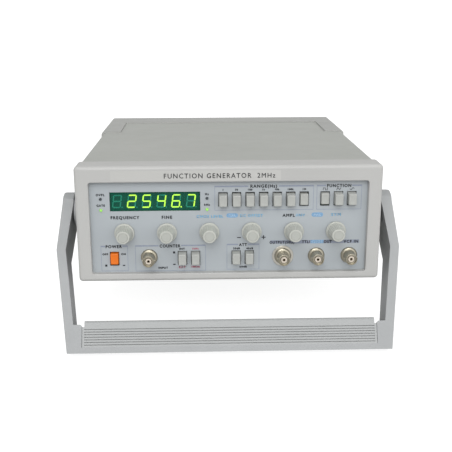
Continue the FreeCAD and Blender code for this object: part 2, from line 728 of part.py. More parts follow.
def inlet_recess():
    """The socket's hollow: a rectangle with its two upper corners cut off."""
    x, z = INLET_CENTRE
    width, height, depth = INLET_RECESS
    y = INLET_FACE - depth
    left = x - width / 2
    right = x + width / 2
    low = z - height / 2
    high = z + height / 2
    cut = INLET_RECESS_CHAMFER
    corners = [V(left, y, low), V(right, y, low), V(right, y, high - cut), V(right - cut, y, high),
               V(left + cut, y, high), V(left, y, high - cut), V(left, y, low)]
    return Part.Face(Part.makePolygon(corners)).extrude(V(0, depth + 1, 0))


def mains_inlet():
    x, z = INLET_CENTRE
    flange = rounded_block(x - INLET_FLANGE[0] / 2, x + INLET_FLANGE[0] / 2, REAR_PANEL_BACK, INLET_FACE,
                           z - INLET_FLANGE[1] / 2, z + INLET_FLANGE[1] / 2, INLET_CORNER_RADIUS)
    body = block(x - INLET_BODY[0] / 2, x + INLET_BODY[0] / 2, INLET_FACE - INLET_BODY[2], REAR_PANEL_BACK,
                 z - INLET_BODY[1] / 2, z + INLET_BODY[1] / 2)
    return flange.fuse(body).cut(inlet_recess()).cut(screw_shanks())


def inlet_pins():
    x, z = INLET_CENTRE
    floor = INLET_FACE - INLET_RECESS[2]
    pins = []
    for dx, dz in ((-PIN_SPACING, -PIN_OFFSET), (0, PIN_OFFSET), (PIN_SPACING, -PIN_OFFSET)):
        pins.append(block(x + dx - PIN_SIZE[0] / 2, x + dx + PIN_SIZE[0] / 2, floor, floor + PIN_SIZE[1],
                          z + dz - PIN_SIZE[2] / 2, z + dz + PIN_SIZE[2] / 2))
    return group(pins)


# ---------------------------------------------------------------- inside

def main_board():
    x0, x1, y0, y1 = MAIN_BOARD
    return block(x0, x1, y0, y1, MAIN_BOARD_Z, MAIN_BOARD_Z + BOARD_THICKNESS)


def side_rails():
    """Bars that tie the front bezel to the rear one and carry the handle hubs."""
    rail = block(RAIL_INNER_X, CAVITY_HALF_WIDTH, PANEL_FRONT, REAR_FLANGE_FRONT, RAIL_BOTTOM, RAIL_TOP)
    return pair(rail)


def transformer_core():
    x, y = CORE_CENTRE
    width, depth, height = CORE_SIZE
    stack = block(x - width / 2, x + width / 2, y - depth / 2, y + depth / 2, SHEET, SHEET + height)
    for side in SIDES:
        near = x + side * CORE_LEG / 2
        far = x + side * (width / 2 - CORE_YOKE)
        stack = stack.cut(block(min(near, far), max(near, far), y - depth, y + depth,
                                SHEET + CORE_YOKE, SHEET + height - CORE_YOKE))
    return stack


def transformer_coil():
    x, y = CORE_CENTRE
    width, depth, height = CORE_SIZE
    half_x = width / 2 - CORE_YOKE - COIL_GAP
    half_y = depth / 2 + COIL_OVERHANG
    low = SHEET + CORE_YOKE
    high = SHEET + height - CORE_YOKE - COIL_GAP
    winding = block(x - half_x, x + half_x, y - half_y, y + half_y, low, high)
    leg = block(x - CORE_LEG / 2 - COIL_GAP, x + CORE_LEG / 2 + COIL_GAP,
                y - depth / 2 - COIL_GAP, y + depth / 2 + COIL_GAP, low - 1, high + 1)
    return winding.cut(leg)


# ---------------------------------------------------------------- handle

def handle_block(x0, x1, s0, s1, back, front):
    """A block in the handle's own directions: S down from the pivot, front towards the user."""
    return block(x0, x1, PIVOT_Y - front, PIVOT_Y - back, PIVOT_Z - s1, PIVOT_Z - s0)


def lean_handle(shape):
    leaned = shape.copy()
    leaned.rotate(V(0, PIVOT_Y, PIVOT_Z), AXIS_X, -HANDLE_LEAN)
    return leaned


def arm_outer_x(s):
    """Across position of the lower arm's outer face at a distance below the pivot."""
    return ARM_OUTER_BEND + (ARM_OUTER_END - ARM_OUTER_BEND) * (s - ARM_BEND_S) / (BAR_S - ARM_BEND_S)


def handle_arm():
    """The right arm: a rounded head on the hub, a raked bend outward, and a foot that holds the bar."""
    inner_foot = arm_outer_x(BLOCK_TOP_S) - ARM_THICKNESS
    top = -1.5 * ARM_HEAD_RADIUS
    end = 1.1 * BAR_S
    crown = ARM_OUTER_TOP - ARM_CROWN_WIDTH
    shoulder = ARM_OUTER_TOP - ARM_CROWN_SLOPE
    outline = [(ARM_INNER_TOP, top), (crown, top), (crown, -ARM_HEAD_RADIUS),
               (shoulder, ARM_CROWN_DROP - ARM_HEAD_RADIUS), (ARM_OUTER_TOP, 0),
               (ARM_OUTER_BEND, ARM_BEND_S),
               (arm_outer_x(end), end), (SEAM_X, end), (SEAM_X, BLOCK_TOP_S + BLOCK_CHAMFER),
               (SEAM_X + BLOCK_CHAMFER, BLOCK_TOP_S), (inner_foot, BLOCK_TOP_S),
               (ARM_INNER_BEND, ARM_BEND_S), (ARM_INNER_TOP, 0), (ARM_INNER_TOP, top)]
    rake = ARM_HALF_DEPTH * CREASE_RAKE
    corners = [V(x, PIVOT_Y - ARM_HALF_DEPTH, PIVOT_Z - s + rake) for x, s in outline]
    slab = Part.Face(Part.makePolygon(corners)).extrude(V(0, 2 * ARM_HALF_DEPTH, -2 * rake))
    return slab.common(arm_side_view()).cut(pivot_hole())


def arm_side_view():
    """The arm seen from the side, as a prism: a round head with a flat front on a strap with a cut heel."""
    x0 = SEAM_X - 1
    x1 = ARM_OUTER_BEND + 1
    head = cross_rod(ARM_HEAD_RADIUS, PIVOT_Y, PIVOT_Z, x0, x1)
    head = head.common(handle_block(x0, x1, -ARM_HALF_DEPTH, ARM_HALF_DEPTH, -ARM_HALF_DEPTH, ARM_FRONT))
    outline = [(ARM_FRONT, 0), (ARM_FRONT, BAR_S), (BAR_BACK, BAR_S),
               (ARM_FRONT - ARM_FOOT_WIDTH, BLOCK_TOP_S), (ARM_FRONT - ARM_TOP_WIDTH, ARM_BEND_S),
               (-ARM_HEAD_RADIUS, 0), (ARM_FRONT, 0)]
    corners = [V(x0, PIVOT_Y - front, PIVOT_Z - s) for front, s in outline]
    strap = Part.Face(Part.makePolygon(corners)).extrude(V(x1 - x0, 0, 0))
    return head.fuse(strap)


def pivot_hole():
    bore = cross_rod(SPIGOT_RADIUS + SPIGOT_GAP, PIVOT_Y, PIVOT_Z, ARM_INNER_TOP - 1, ARM_OUTER_BEND)
    well = cross_rod(CAP_WELL_RADIUS, PIVOT_Y, PIVOT_Z, CAP_WELL_FLOOR_X, ARM_OUTER_BEND)
    return bore.fuse(well)


def bar_core():
    return handle_block(-SEAM_X, SEAM_X, CORE_TOP_S, BAND_TOP_S, CORE_BACK, CORE_FRONT)


def handle_bar():
    """The bar between the arms: a lower band the full width of the arms, with a core above it."""
    band = handle_block(-SEAM_X, SEAM_X, BAND_TOP_S, BAR_S, BAR_BACK, ARM_FRONT)
    return band.fuse(bar_core()).removeSplitter()


def handle_grip():
    """A ribbed sleeve that wraps the bar's core."""
    end = SEAM_X - GRIP_END_GAP
    sleeve = handle_block(-end, end, GRIP_TOP_S, BAND_TOP_S, GRIP_BACK, ARM_FRONT)
    upper = [edge for edge in edges_along(sleeve, AXIS_X) if edge.BoundBox.ZMin > PIVOT_Z - GRIP_TOP_S - 1]
    sleeve = sleeve.makeFillet(GRIP_EDGE_RADIUS, upper).cut(bar_core())
    inner = SEAM_X - GRIP_NOTCH_WIDTH
    notch = handle_block(inner, SEAM_X, GRIP_TOP_S - 1, GRIP_NOTCH_S, GRIP_BACK - 1, ARM_FRONT + 1)
    sleeve = sleeve.cut(pair(notch))
    for i in range(GROOVE_COUNT):
        s = GROOVE_FIRST_S + i * GROOVE_PITCH
        groove = handle_block(-GROOVE_END, GROOVE_END, s - GROOVE_WIDTH / 2, s + GROOVE_WIDTH / 2,
                              ARM_FRONT - GROOVE_DEPTH, ARM_FRONT + 1)
        sleeve = sleeve.cut(groove)
    return sleeve


def handle_hub():
    """The right hub: a disc on the cover, a boss to the rail and the spigot that the arm turns on."""
    hub = cross_rod(HUB_RADIUS, PIVOT_Y, PIVOT_Z, COVER_HALF_WIDTH, HUB_FACE_X)
    hub = hub.fuse(cross_rod(HUB_BOSS_RADIUS, PIVOT_Y, PIVOT_Z, CAVITY_HALF_WIDTH, COVER_HALF_WIDTH))
    return hub.fuse(cross_rod(SPIGOT_RADIUS, PIVOT_Y, PIVOT_Z, HUB_FACE_X, SPIGOT_END_X))


def pivot_cap():
    return cross_rod(PIVOT_CAP_RADIUS, PIVOT_Y, PIVOT_Z, SPIGOT_END_X, SPIGOT_END_X + PIVOT_CAP_THICKNESS)


# ---------------------------------------------------------------- the whole object

def level_nodes():
    """Every node, with the case level and the handle leaned forward."""
    arm = lean_handle(handle_arm())
    nodes = {
        "front_bezel": front_bezel(), "rear_bezel": rear_bezel(), "top_cover": top_cover(),
        "bottom_cover": bottom_cover(), "rear_panel": rear_panel(), "rubber_feet": rubber_feet(),
        "case_screws": case_screws(), "front_panel": front_panel(), "display_window": display_window(),
        "display_digits": display_digits(), "indicator_leds": indicator_leds(),
        "display_board": display_board(), "control_board": control_board(),
        "range_switch_bank": switch_bank("range"),
        "function_switch_bank": switch_bank("function"),
        "lower_switch_banks": group([switch_bank("counter"), switch_bank("attenuator")]),
        "power_switch": switch_bank("power"),
        "potentiometers": group([potentiometer(i) for i in range(len(KNOB_NAMES))]),
        "panel_nuts": panel_nuts(), "bnc_shells": jack_group(jack_shell),
        "bnc_insulators": jack_group(jack_insulator), "bnc_contacts": jack_group(jack_contact),
        "output_washer": output_washer(), "mains_inlet": mains_inlet(), "inlet_pins": inlet_pins(),
        "main_board": main_board(), "side_rails": side_rails(),
        "transformer_core": transformer_core(), "transformer_coil": transformer_coil(),
        "handle_hubs": pair(handle_hub()), "pivot_caps": pair(pivot_cap()),
        "handle_arm_right": arm, "handle_arm_left": mirrored(arm),
        "handle_bar": lean_handle(handle_bar()), "handle_grip": lean_handle(handle_grip()),
    }
    for name, x, z, pressed in key_table():
        nodes["key_" + name] = key(x, z, pressed)
    for i, name in enumerate(KNOB_NAMES):
        nodes["knob_" + name] = knob(i)
        if name in PULL_KNOBS:
            nodes["pull_yoke_" + name] = pull_yoke(i)
    return nodes


def resting_tilt():
    """The case's slope, with the bar's back corner and the rear feet on the table."""
    lean = math.radians(HANDLE_LEAN)
    corner_y = PIVOT_Y - math.sin(lean) * BAR_S - math.cos(lean) * BAR_BACK
    corner_z = PIVOT_Z - math.cos(lean) * BAR_S + math.sin(lean) * BAR_BACK
    return math.degrees(math.atan2(-FOOT_HEIGHT - corner_z, REAR_FOOT_Y + FOOT_TIP_RADIUS - corner_y))


def standing(nodes):
    """Tip the object on to its handle, with the origin under the middle of its bounding box."""
    tilt = resting_tilt()
    for shape in nodes.values():
        shape.rotate(ORIGIN, AXIS_X, -tilt)
    box = group(list(nodes.values())).optimalBoundingBox(False, False)
    shift = V(0, -(box.YMin + box.YMax) / 2, -box.ZMin)
    for shape in nodes.values():
        shape.translate(shift)
    print("tilt %.6f shift %.6f %.6f" % (tilt, shift.y, shift.z))
    return nodes


os.makedirs("parts", exist_ok=True)
for node, shape in standing(level_nodes()).items():
    shape.exportStep("parts/" + node + ".step")
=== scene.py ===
"""The looks of a bench function generator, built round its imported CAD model.

Pieces are drawn in the case's own level axes, in millimetres: X across, Y to the back and Z up
from the lower front edge. CASE takes them to the row frame, where the case stands tilted."""
import json
import math

import bmesh
import bpy
from mathutils import Matrix, Vector


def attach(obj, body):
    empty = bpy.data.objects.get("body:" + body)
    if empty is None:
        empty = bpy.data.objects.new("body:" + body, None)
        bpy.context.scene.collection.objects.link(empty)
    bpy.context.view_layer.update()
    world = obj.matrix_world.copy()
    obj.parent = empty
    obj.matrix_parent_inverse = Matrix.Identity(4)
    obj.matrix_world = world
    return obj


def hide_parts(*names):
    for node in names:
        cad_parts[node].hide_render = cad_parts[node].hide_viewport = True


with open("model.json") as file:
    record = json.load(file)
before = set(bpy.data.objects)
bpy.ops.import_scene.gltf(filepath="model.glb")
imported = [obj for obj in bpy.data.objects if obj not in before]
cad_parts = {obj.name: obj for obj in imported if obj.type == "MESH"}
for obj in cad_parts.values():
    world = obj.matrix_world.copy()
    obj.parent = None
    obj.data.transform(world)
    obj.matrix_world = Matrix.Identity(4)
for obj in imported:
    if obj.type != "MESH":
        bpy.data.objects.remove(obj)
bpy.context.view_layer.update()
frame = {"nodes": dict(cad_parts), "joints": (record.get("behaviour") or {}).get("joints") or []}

NODES = frame["nodes"]
JOINTS = {joint["name"]: joint for joint in frame["joints"]}
TAU = 2 * math.pi

# Names of the repeated parts, in their order across the panel
KNOBS = ("frequency", "fine", "level", "offset", "amplitude", "symmetry")
RANGE_KEYS = ("1", "10", "100", "1k", "10k", "100k", "1m")
FUNCTION_KEYS = ("square", "triangle", "sine")
LOWER_KEYS = ("counter_source", "counter_gate", "attenuator_20db", "attenuator_40db")
JACKS = ("counter", "output", "logic", "sweep")
KEY_NODES = ["key_range_" + name for name in RANGE_KEYS]
KEY_NODES += ["key_function_" + name for name in FUNCTION_KEYS]
KEY_NODES += ["key_" + name for name in LOWER_KEYS] + ["key_power"]


# ---------------------------------------------------------------- the case's own axes

def case_matrix():
    """From millimetres in the level case to metres in the row frame."""
    axis = JOINTS["knob_frequency_turn"]["axis"]
    tilt = math.atan2(-axis[2], axis[1])
    level = Matrix.Rotation(tilt, 4, "X")
    front = min((level @ vertex.co).y for vertex in NODES["front_bezel"].data.vertices)
    bottom = min((level @ vertex.co).z for vertex in NODES["rear_bezel"].data.vertices)
    corner = Matrix.Translation((0, front, bottom))
    return Matrix.Rotation(-tilt, 4, "X") @ corner @ Matrix.Scale(0.001, 4)


CASE = case_matrix()
INTO_CASE = CASE.inverted()


def case_spots(node):
    """A CAD node's vertices in the case's axes, in millimetres."""
    return [INTO_CASE @ vertex.co for vertex in NODES[node].data.vertices]


def case_box(node):
    """A CAD node's lowest and highest corners in the case's axes."""
    corners = case_spots(node)
    low = Vector([min(corner[i] for corner in corners) for i in range(3)])
    high = Vector([max(corner[i] for corner in corners) for i in range(3)])
    return low, high


def case_middle(node):
    low, high = case_box(node)
    return (low + high) / 2


PANEL_Y = case_box("front_panel")[0].y


# ---------------------------------------------------------------- materials

def linear(red, green, blue):
    """A colour given as 0 to 255 display values."""
    parts = []
    for value in (red, green, blue):
        part = value / 255
        parts.append(part / 12.92 if part <= 0.04045 else ((part + 0.055) / 1.055) ** 2.4)
    return (*parts, 1.0)


class Surface:
    """A Principled material with the few node chains that the object's finishes need."""

    def __init__(self, name, colour, roughness, metallic=0.0):
        self.material = bpy.data.materials.new(name)
        self.material.use_nodes = True
        self.tree = self.material.node_tree
        self.shader = self.tree.nodes["Principled BSDF"]
        self.colour = colour
        self.shader.inputs["Base Color"].default_value = colour
        self.shader.inputs["Roughness"].default_value = roughness
        self.shader.inputs["Metallic"].default_value = metallic
        self.place = self.tree.nodes.new("ShaderNodeTexCoord").outputs["Object"]
        self.height = None

    def node(self, kind, **inputs):
        made = self.tree.nodes.new(kind)
        for name, value in inputs.items():
            made.inputs[name.replace("_", " ")].default_value = value
        return made

    def noise(self, scale, detail=3.0):
        made = self.node("ShaderNodeTexNoise", Scale=scale, Detail=detail, Roughness=0.5)
        self.tree.links.new(self.place, made.inputs["Vector"])
        return made.outputs["Fac"]

    def spread(self, value, low, high, start=0.3, end=0.7):
        """Maps a value that runs from start to end on to low to high."""
        made = self.node("ShaderNodeMapRange")
        for name, number in (("From Min", start), ("From Max", end), ("To Min", low), ("To Max", high)):
            made.inputs[name].default_value = number
        self.tree.links.new(value, made.inputs["Value"])
        return made.outputs["Result"]

    def mottle(self, amount, scale):
        """Slow changes of shade over the surface."""
        mix = self.tree.nodes.new("ShaderNodeMix")
        mix.data_type = "RGBA"
        dark = [part * (1 - amount) for part in self.colour[:3]]
        light = [part * (1 + amount) for part in self.colour[:3]]
        mix.inputs["A"].default_value = (*dark, 1)
        mix.inputs["B"].default_value = (*light, 1)
        self.tree.links.new(self.spread(self.noise(scale, 4.0), 0, 1), mix.inputs["Factor"])
        self.tree.links.new(mix.outputs["Result"], self.shader.inputs["Base Color"])
        return self

    def uneven_gloss(self, low, high, scale):
        self.tree.links.new(self.spread(self.noise(scale), low, high), self.shader.inputs["Roughness"])
        return self

    def bump(self, height, distance):
        """Lays one more relief over those already there."""
        made = self.node("ShaderNodeBump", Strength=1.0, Distance=distance)
        self.tree.links.new(height, made.inputs["Height"])
        if self.height is not None:
            self.tree.links.new(self.height, made.inputs["Normal"])
        self.height = made.outputs["Normal"]
        self.tree.links.new(self.height, self.shader.inputs["Normal"])
        return self

    def grain(self, scale, distance):
        return self.bump(self.noise(scale, 2.0), distance)

    def paint_groove_shade(self, reach, share):
        """Painted shade: darkens the base colour in hollows narrower than a reach in metres, by ambient
        occlusion.
        """
        hollow = self.node("ShaderNodeAmbientOcclusion", Distance=reach)
        hollow.samples = 8
        mix = self.tree.nodes.new("ShaderNodeMix")
        mix.data_type = "RGBA"
        unshaded = self.shader.inputs["Base Color"].links[0].from_socket
        self.tree.links.new(unshaded, mix.inputs["A"])
        mix.inputs["B"].default_value = (*[part * (1 - share) for part in self.colour[:3]], 1)
        self.tree.links.new(self.spread(hollow.outputs["AO"], 1, 0, 0.45, 0.95), mix.inputs["Factor"])
        self.tree.links.new(mix.outputs["Result"], self.shader.inputs["Base Color"])
        return self

    def set(self, **inputs):
        for name, value in inputs.items():
            self.shader.inputs[name.replace("_", " ")].default_value = value
        return self


# How far the painted shade in grooves reaches, in metres
GROOVE_REACH = 0.0012


def moulded_plastic(name, colour, roughness=0.5, grain=0.00004, painted_shade=0.0):
    """Spark-textured moulding: a fine grain, a slight sheen and faint handling marks."""
    surface = Surface(name, colour, roughness)
    surface.mottle(0.025, 14.0)
    # A nonzero last argument paints shade into narrow grooves.
    if painted_shade:
        surface.paint_groove_shade(GROOVE_REACH, painted_shade)
    surface.uneven_gloss(roughness - 0.06, roughness + 0.08, 60.0)
    surface.grain(1400.0, grain)
    surface.set(Specular_IOR_Level=0.4)
    return surface.material


def smooth_plastic(name, colour, roughness=0.35, painted_shade=0.0):
    """Close, nearly smooth moulding, as on keys and knobs."""
    surface = Surface(name, colour, roughness)
    surface.mottle(0.02, 90.0)
    # A nonzero last argument paints shade into narrow grooves.
    if painted_shade:
        surface.paint_groove_shade(GROOVE_REACH, painted_shade)
    surface.uneven_gloss(roughness - 0.05, roughness + 0.1, 300.0)
    surface.grain(2600.0, 0.000012)
    return surface.material


def painted_metal(name, colour, roughness=0.42):
    """Stoved paint with a faint orange peel and a very fine speckle."""
    surface = Surface(name, colour, roughness)
    surface.mottle(0.02, 10.0)
    surface.uneven_gloss(roughness - 0.05, roughness + 0.06, 40.0)
    surface.grain(420.0, 0.00002).grain(2200.0, 0.000008)
    return surface.material


def plated_metal(name, colour, roughness):
    """Bright plate over turned metal, with small stains and a little wear."""
    surface = Surface(name, colour, roughness, metallic=1.0)
    surface.mottle(0.05, 240.0)
    surface.uneven_gloss(roughness * 0.85, roughness * 1.25, 500.0)
    surface.grain(3000.0, 0.000001)
    return surface.material


def brushed_metal(name, colour, roughness, stretch=(40.0, 1.0, 1.0)):
    """Metal with long fine scratches along one way."""
    surface = Surface(name, colour, roughness, metallic=1.0)
    mapping = surface.tree.nodes.new("ShaderNodeMapping")
    mapping.inputs["Scale"].default_value = stretch
    surface.tree.links.new(surface.place, mapping.inputs["Vector"])
    surface.place = mapping.outputs["Vector"]
    surface.mottle(0.06, 60.0).uneven_gloss(roughness - 0.1, roughness + 0.12, 90.0).grain(200.0, 0.00001)
    return surface.material


def rubber(name, colour):
    surface = Surface(name, colour, 0.75)
    surface.mottle(0.12, 120.0).uneven_gloss(0.65, 0.85, 90.0).grain(1800.0, 0.00005)
    return surface.material


def circuit_board(name, colour):
    """Solder mask over a grid of tracks."""
    surface = Surface(name, colour, 0.35)
    surface.mottle(0.2, 180.0)
    tracks = surface.node("ShaderNodeTexBrick", Scale=160.0)
    tracks.inputs["Mortar Size"].default_value = 0.03
    surface.tree.links.new(surface.place, tracks.inputs["Vector"])
    surface.bump(tracks.outputs["Fac"], 0.00003)
    return surface.material


def ink(name, colour):
    """Screen-printed ink, a little uneven in cover."""
    surface = Surface(name, colour, 0.5)
    surface.mottle(0.1, 900.0).grain(4000.0, 0.000005)
    return surface.material


def glowing(name, colour, strength, body):
    """A lit diffuser: its own colour under an even glow."""
    surface = Surface(name, body, 0.35)
    surface.mottle(0.05, 800.0)
    surface.set(Emission_Color=colour, Emission_Strength=strength)
    return surface.material


def tinted_window(name, colour, cover):
    """A glossy filter that shows part of what lies behind it."""
    surface = Surface(name, colour, 0.08)
    surface.mottle(0.06, 40.0).grain(900.0, 0.000002)
    surface.set(Alpha=cover, Specular_IOR_Level=0.35)
    return surface.material


BEZEL = moulded_plastic("bezel_plastic", linear(176, 176, 174), 0.42)
# The front bezel's plastic in a darker copy: painted shade for the dimmer light at the back of the case.
SHADED_REAR_BEZEL = moulded_plastic("rear_bezel_plastic_shaded", linear(160, 161, 158), 0.46)
HANDLE = moulded_plastic("handle_plastic", linear(155, 157, 158), 0.5)
# The last number is painted shade in the grip's grooves.
GRIP = moulded_plastic("grip_plastic", linear(162, 164, 164), 0.55, 0.00006, 0.3)
COVER = painted_metal("cover_paint", linear(161, 163, 158))
PANEL = painted_metal("panel_paint", linear(164, 170, 174), 0.4)
KEY_GREY = smooth_plastic("key_grey", linear(167, 169, 165), 0.42)
KEY_ORANGE = smooth_plastic("key_orange", linear(221, 110, 14), 0.38)
# The last number is painted shade in the knob's flutes.
KNOB = smooth_plastic("knob_ivory", linear(181, 183, 176), 0.45, 0.22)
KNOB_CAP = smooth_plastic("knob_cap", linear(170, 172, 166), 0.4)
# Nickel's own warm tint, set darker and warmer still as painted reflection of a dim, warm room.
NICKEL = plated_metal("nickel", linear(178, 172, 155), 0.33)
WASHER = plated_metal("washer_nickel", linear(204, 201, 192), 0.4)
STEEL = plated_metal("screw_steel", linear(190, 190, 190), 0.3)
BRASS = plated_metal("contact_brass", linear(120, 104, 78), 0.3)
INSULATOR = smooth_plastic("insulator_white", linear(200, 190, 176), 0.45)
ALUMINIUM = brushed_metal("rail_aluminium", linear(190, 190, 190), 0.4, (1.0, 40.0, 1.0))
IRON = brushed_metal("core_iron", linear(90, 88, 86), 0.5, (1.0, 1.0, 60.0))
TAPE = smooth_plastic("coil_tape", linear(190, 160, 60), 0.3)
BLACK = smooth_plastic("switch_black", linear(38, 38, 40), 0.45)
BOARD = circuit_board("board_laminate", linear(30, 92, 52))
RUBBER = rubber("foot_rubber", linear(42, 42, 44))
WINDOW = tinted_window("window_green", linear(9, 90, 72), 0.3)
DIGIT_FACE = smooth_plastic("digit_face", linear(8, 96, 72), 0.4)
UNLIT = smooth_plastic("segment_unlit", linear(70, 208, 172), 0.4)
LIT = glowing("segment_lit", linear(196, 252, 74), 2.3, linear(120, 180, 50))
LAMP_LIT = glowing("lamp_lit", linear(150, 240, 60), 0.42, linear(138, 184, 96))
LAMP_DARK = smooth_plastic("lamp_dark", linear(66, 72, 76), 0.25)
INK_DARK = ink("ink_dark", linear(18, 20, 28))
INK_BLUE = ink("ink_blue", linear(128, 182, 214))
INK_RED = ink("ink_red", linear(168, 92, 108))
INK_WHITE = ink("ink_white", linear(168, 196, 220))
INK_LINE = ink("ink_line", linear(136, 144, 160))
INK_BAND = ink("ink_band", linear(136, 143, 158))
INK_OVAL = ink("ink_oval", linear(118, 156, 190))
LABEL = painted_metal("title_label", linear(181, 181, 178), 0.36)


# ---------------------------------------------------------------- mesh helpers

def add_piece(name, bm, body, material, replaces=(), smooth_angle=35.0):
    """Turns a bmesh drawn in the case's axes into a piece that rides a body."""
    bmesh.ops.recalc_face_normals(bm, faces=bm.faces)
    mesh = bpy.data.meshes.new(name)
    bm.to_mesh(mesh)
    bm.free()
    mesh.transform(CASE)
    piece = bpy.data.objects.new(name, mesh)
    bpy.context.scene.collection.objects.link(piece)
    mesh.materials.append(material)
    for polygon in mesh.polygons:
        polygon.use_smooth = True
    mesh.set_sharp_from_angle(angle=math.radians(smooth_angle))
    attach(piece, body)
    if replaces:
        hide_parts(*replaces)


def soften(piece, width):
    """Merges a piece's flat faces and rounds its sharp edges by a width in millimetres."""
    merge = piece.modifiers.new("merge_flat", "DECIMATE")
    merge.decimate_type = "DISSOLVE"
    merge.angle_limit = math.radians(1.0)
    bevel = piece.modifiers.new("soften", "BEVEL")
    bevel.width = width * 0.001
    bevel.segments = 3
    bevel.limit_method = "ANGLE"
    bevel.angle_limit = math.radians(30.0)
    bevel.harden_normals = True
    bevel.use_clamp_overlap = True


def add_box(bm, x0, x1, y0, y1, z0, z1):
    verts = [bm.verts.new((x, y, z)) for x in (x0, x1) for y in (y0, y1) for z in (z0, z1)]
    for face in ((0, 1, 3, 2), (4, 6, 7, 5), (0, 4, 5, 1), (2, 3, 7, 6), (0, 2, 6, 4), (1, 5, 7, 3)):
        bm.faces.new([verts[i] for i in face])
    return verts


def add_lathe(bm, profile, x, z, steps=72, reach=None):
    """Turns a profile of (y, radius) points round a front-to-back axis.

    reach may change each radius by its row and angle."""
    rings = []
    for row, (y, radius) in enumerate(profile):
        if radius <= 0:
            rings.append([bm.verts.new((x, y, z))])
            continue
        ring = []
        for i in range(steps):
            angle = TAU * i / steps
            r = radius if reach is None else reach(row, radius, angle)
            ring.append(bm.verts.new((x + r * math.cos(angle), y, z + r * math.sin(angle))))
        rings.append(ring)
    for near, far in zip(rings, rings[1:]):
        for i in range(steps):
            j = (i + 1) % steps
            corners = [near[i % len(near)], near[j % len(near)], far[j % len(far)], far[i % len(far)]]
            unique = list(dict.fromkeys(corners))
            if len(unique) > 2:
                bm.faces.new(unique)


def arc(y, r, radius, start, end, steps=5):
    """Points of a quarter round in a lathe profile: angle 0 is outward, 90 is to the front."""
    points = []
    for i in range(steps + 1):
        angle = math.radians(start + (end - start) * i / steps)
        points.append((y - radius * math.sin(angle), r + radius * math.cos(angle)))
    return points


def add_prism(bm, outline, y0, y1):
    """A flat outline of (x, z) points given thickness from y0 to y1."""
    front = [bm.verts.new((x, y0, z)) for x, z in outline]
    back = [bm.verts.new((x, y1, z)) for x, z in outline]
    bm.faces.new(front)
    bm.faces.new(list(reversed(back)))
    for i in range(len(outline)):
        j = (i + 1) % len(outline)
        bm.faces.new((front[i], back[i], back[j], front[j]))


def rounded_outline(x0, x1, z0, z1, radius, steps=6):
    outline = []
    for cx, cz, start in ((x1 - radius, z1 - radius, 0), (x0 + radius, z1 - radius, 90),
                          (x0 + radius, z0 + radius, 180), (x1 - radius, z0 + radius, 270)):
        for i in range(steps + 1):
            angle = math.radians(start + 90 * i / steps)
            outline.append((cx + radius * math.cos(angle), cz + radius * math.sin(angle)))
    return outline


# ---------------------------------------------------------------- keys

KEY_CAP_DEPTH = 9.0
KEY_EDGE = 0.6
KEY_EDGE_STEPS = 6
KEY_FACE_REACH = 0.7
KEY_CORNER = 0.6
# The dish's rings: the share of the face inside each, and how far it is sunk
KEY_DISH = ((0.86, 0.05), (0.6, 0.18), (0.3, 0.22))
STEM_HALF = 2.0


def make_key(node):
    """A tapered keycap with rounded front edges and a shallow dish, on its stem."""
    low, high = case_box(node)
    face = [spot for spot in case_spots(node) if spot.y < low.y + KEY_FACE_REACH]
    taper_x = (high.x - max(spot.x for spot in face)) / KEY_CAP_DEPTH
    taper_z = (high.z - max(spot.z for spot in face)) / KEY_CAP_DEPTH
    middle = (low + high) / 2
    levels = [(KEY_CAP_DEPTH, 0.0)]
    for i in range(KEY_EDGE_STEPS + 1):
        turn = math.radians(90 * i / KEY_EDGE_STEPS)
        levels.append((KEY_EDGE * (1 - math.sin(turn)), KEY_EDGE * (1 - math.cos(turn))))
    bm = bmesh.new()
    loops = []
    for y, inset in levels:
        half_x = high.x - middle.x - inset - taper_x * (KEY_CAP_DEPTH - y)
        half_z = high.z - middle.z - inset - taper_z * (KEY_CAP_DEPTH - y)
        outline = rounded_outline(middle.x - half_x, middle.x + half_x,
                                  middle.z - half_z, middle.z + half_z, KEY_CORNER, 3)
        loops.append([bm.verts.new((x, low.y + y, z)) for x, z in outline])
    rim = loops[-1]
    for share, sink in KEY_DISH:
        loops.append([bm.verts.new((middle.x + (vert.co.x - middle.x) * share, low.y + sink,
                                    middle.z + (vert.co.z - middle.z) * share)) for vert in rim])
    for near, far in zip(loops, loops[1:]):
        for i in range(len(near)):
            j = (i + 1) % len(near)
            bm.faces.new((near[i], near[j], far[j], far[i]))
    bm.faces.new(loops[0])
    bm.faces.new(loops[-1])
    add_box(bm, middle.x - STEM_HALF, middle.x + STEM_HALF, low.y + KEY_CAP_DEPTH, high.y,
            middle.z - STEM_HALF, middle.z + STEM_HALF)
    slot, material = ("key_orange", KEY_ORANGE) if node == "key_power" else ("key_grey", KEY_GREY)
    add_piece(node + "_cap", bm, node, material, [node])


# ---------------------------------------------------------------- knobs

FLUTES = 24
FLUTE_DEPTH = 0.4
STEPS_PER_FLUTE = 10
SKIRT_THICKNESS = 1.6
SKIRT_GAP = 0.6
SKIRT_EDGE = 0.5
KNOB_BASE = 7.2
KNOB_TIP = 5.5
KNOB_TIP_ROUND = 0.7
BODY_ROWS = 6
TIP_ROWS = 6
FADING_ROWS = 4
DISC_RADIUS = 3.8
SHAFT_RADIUS = 3.0
SHAFT_SETBACK = 4


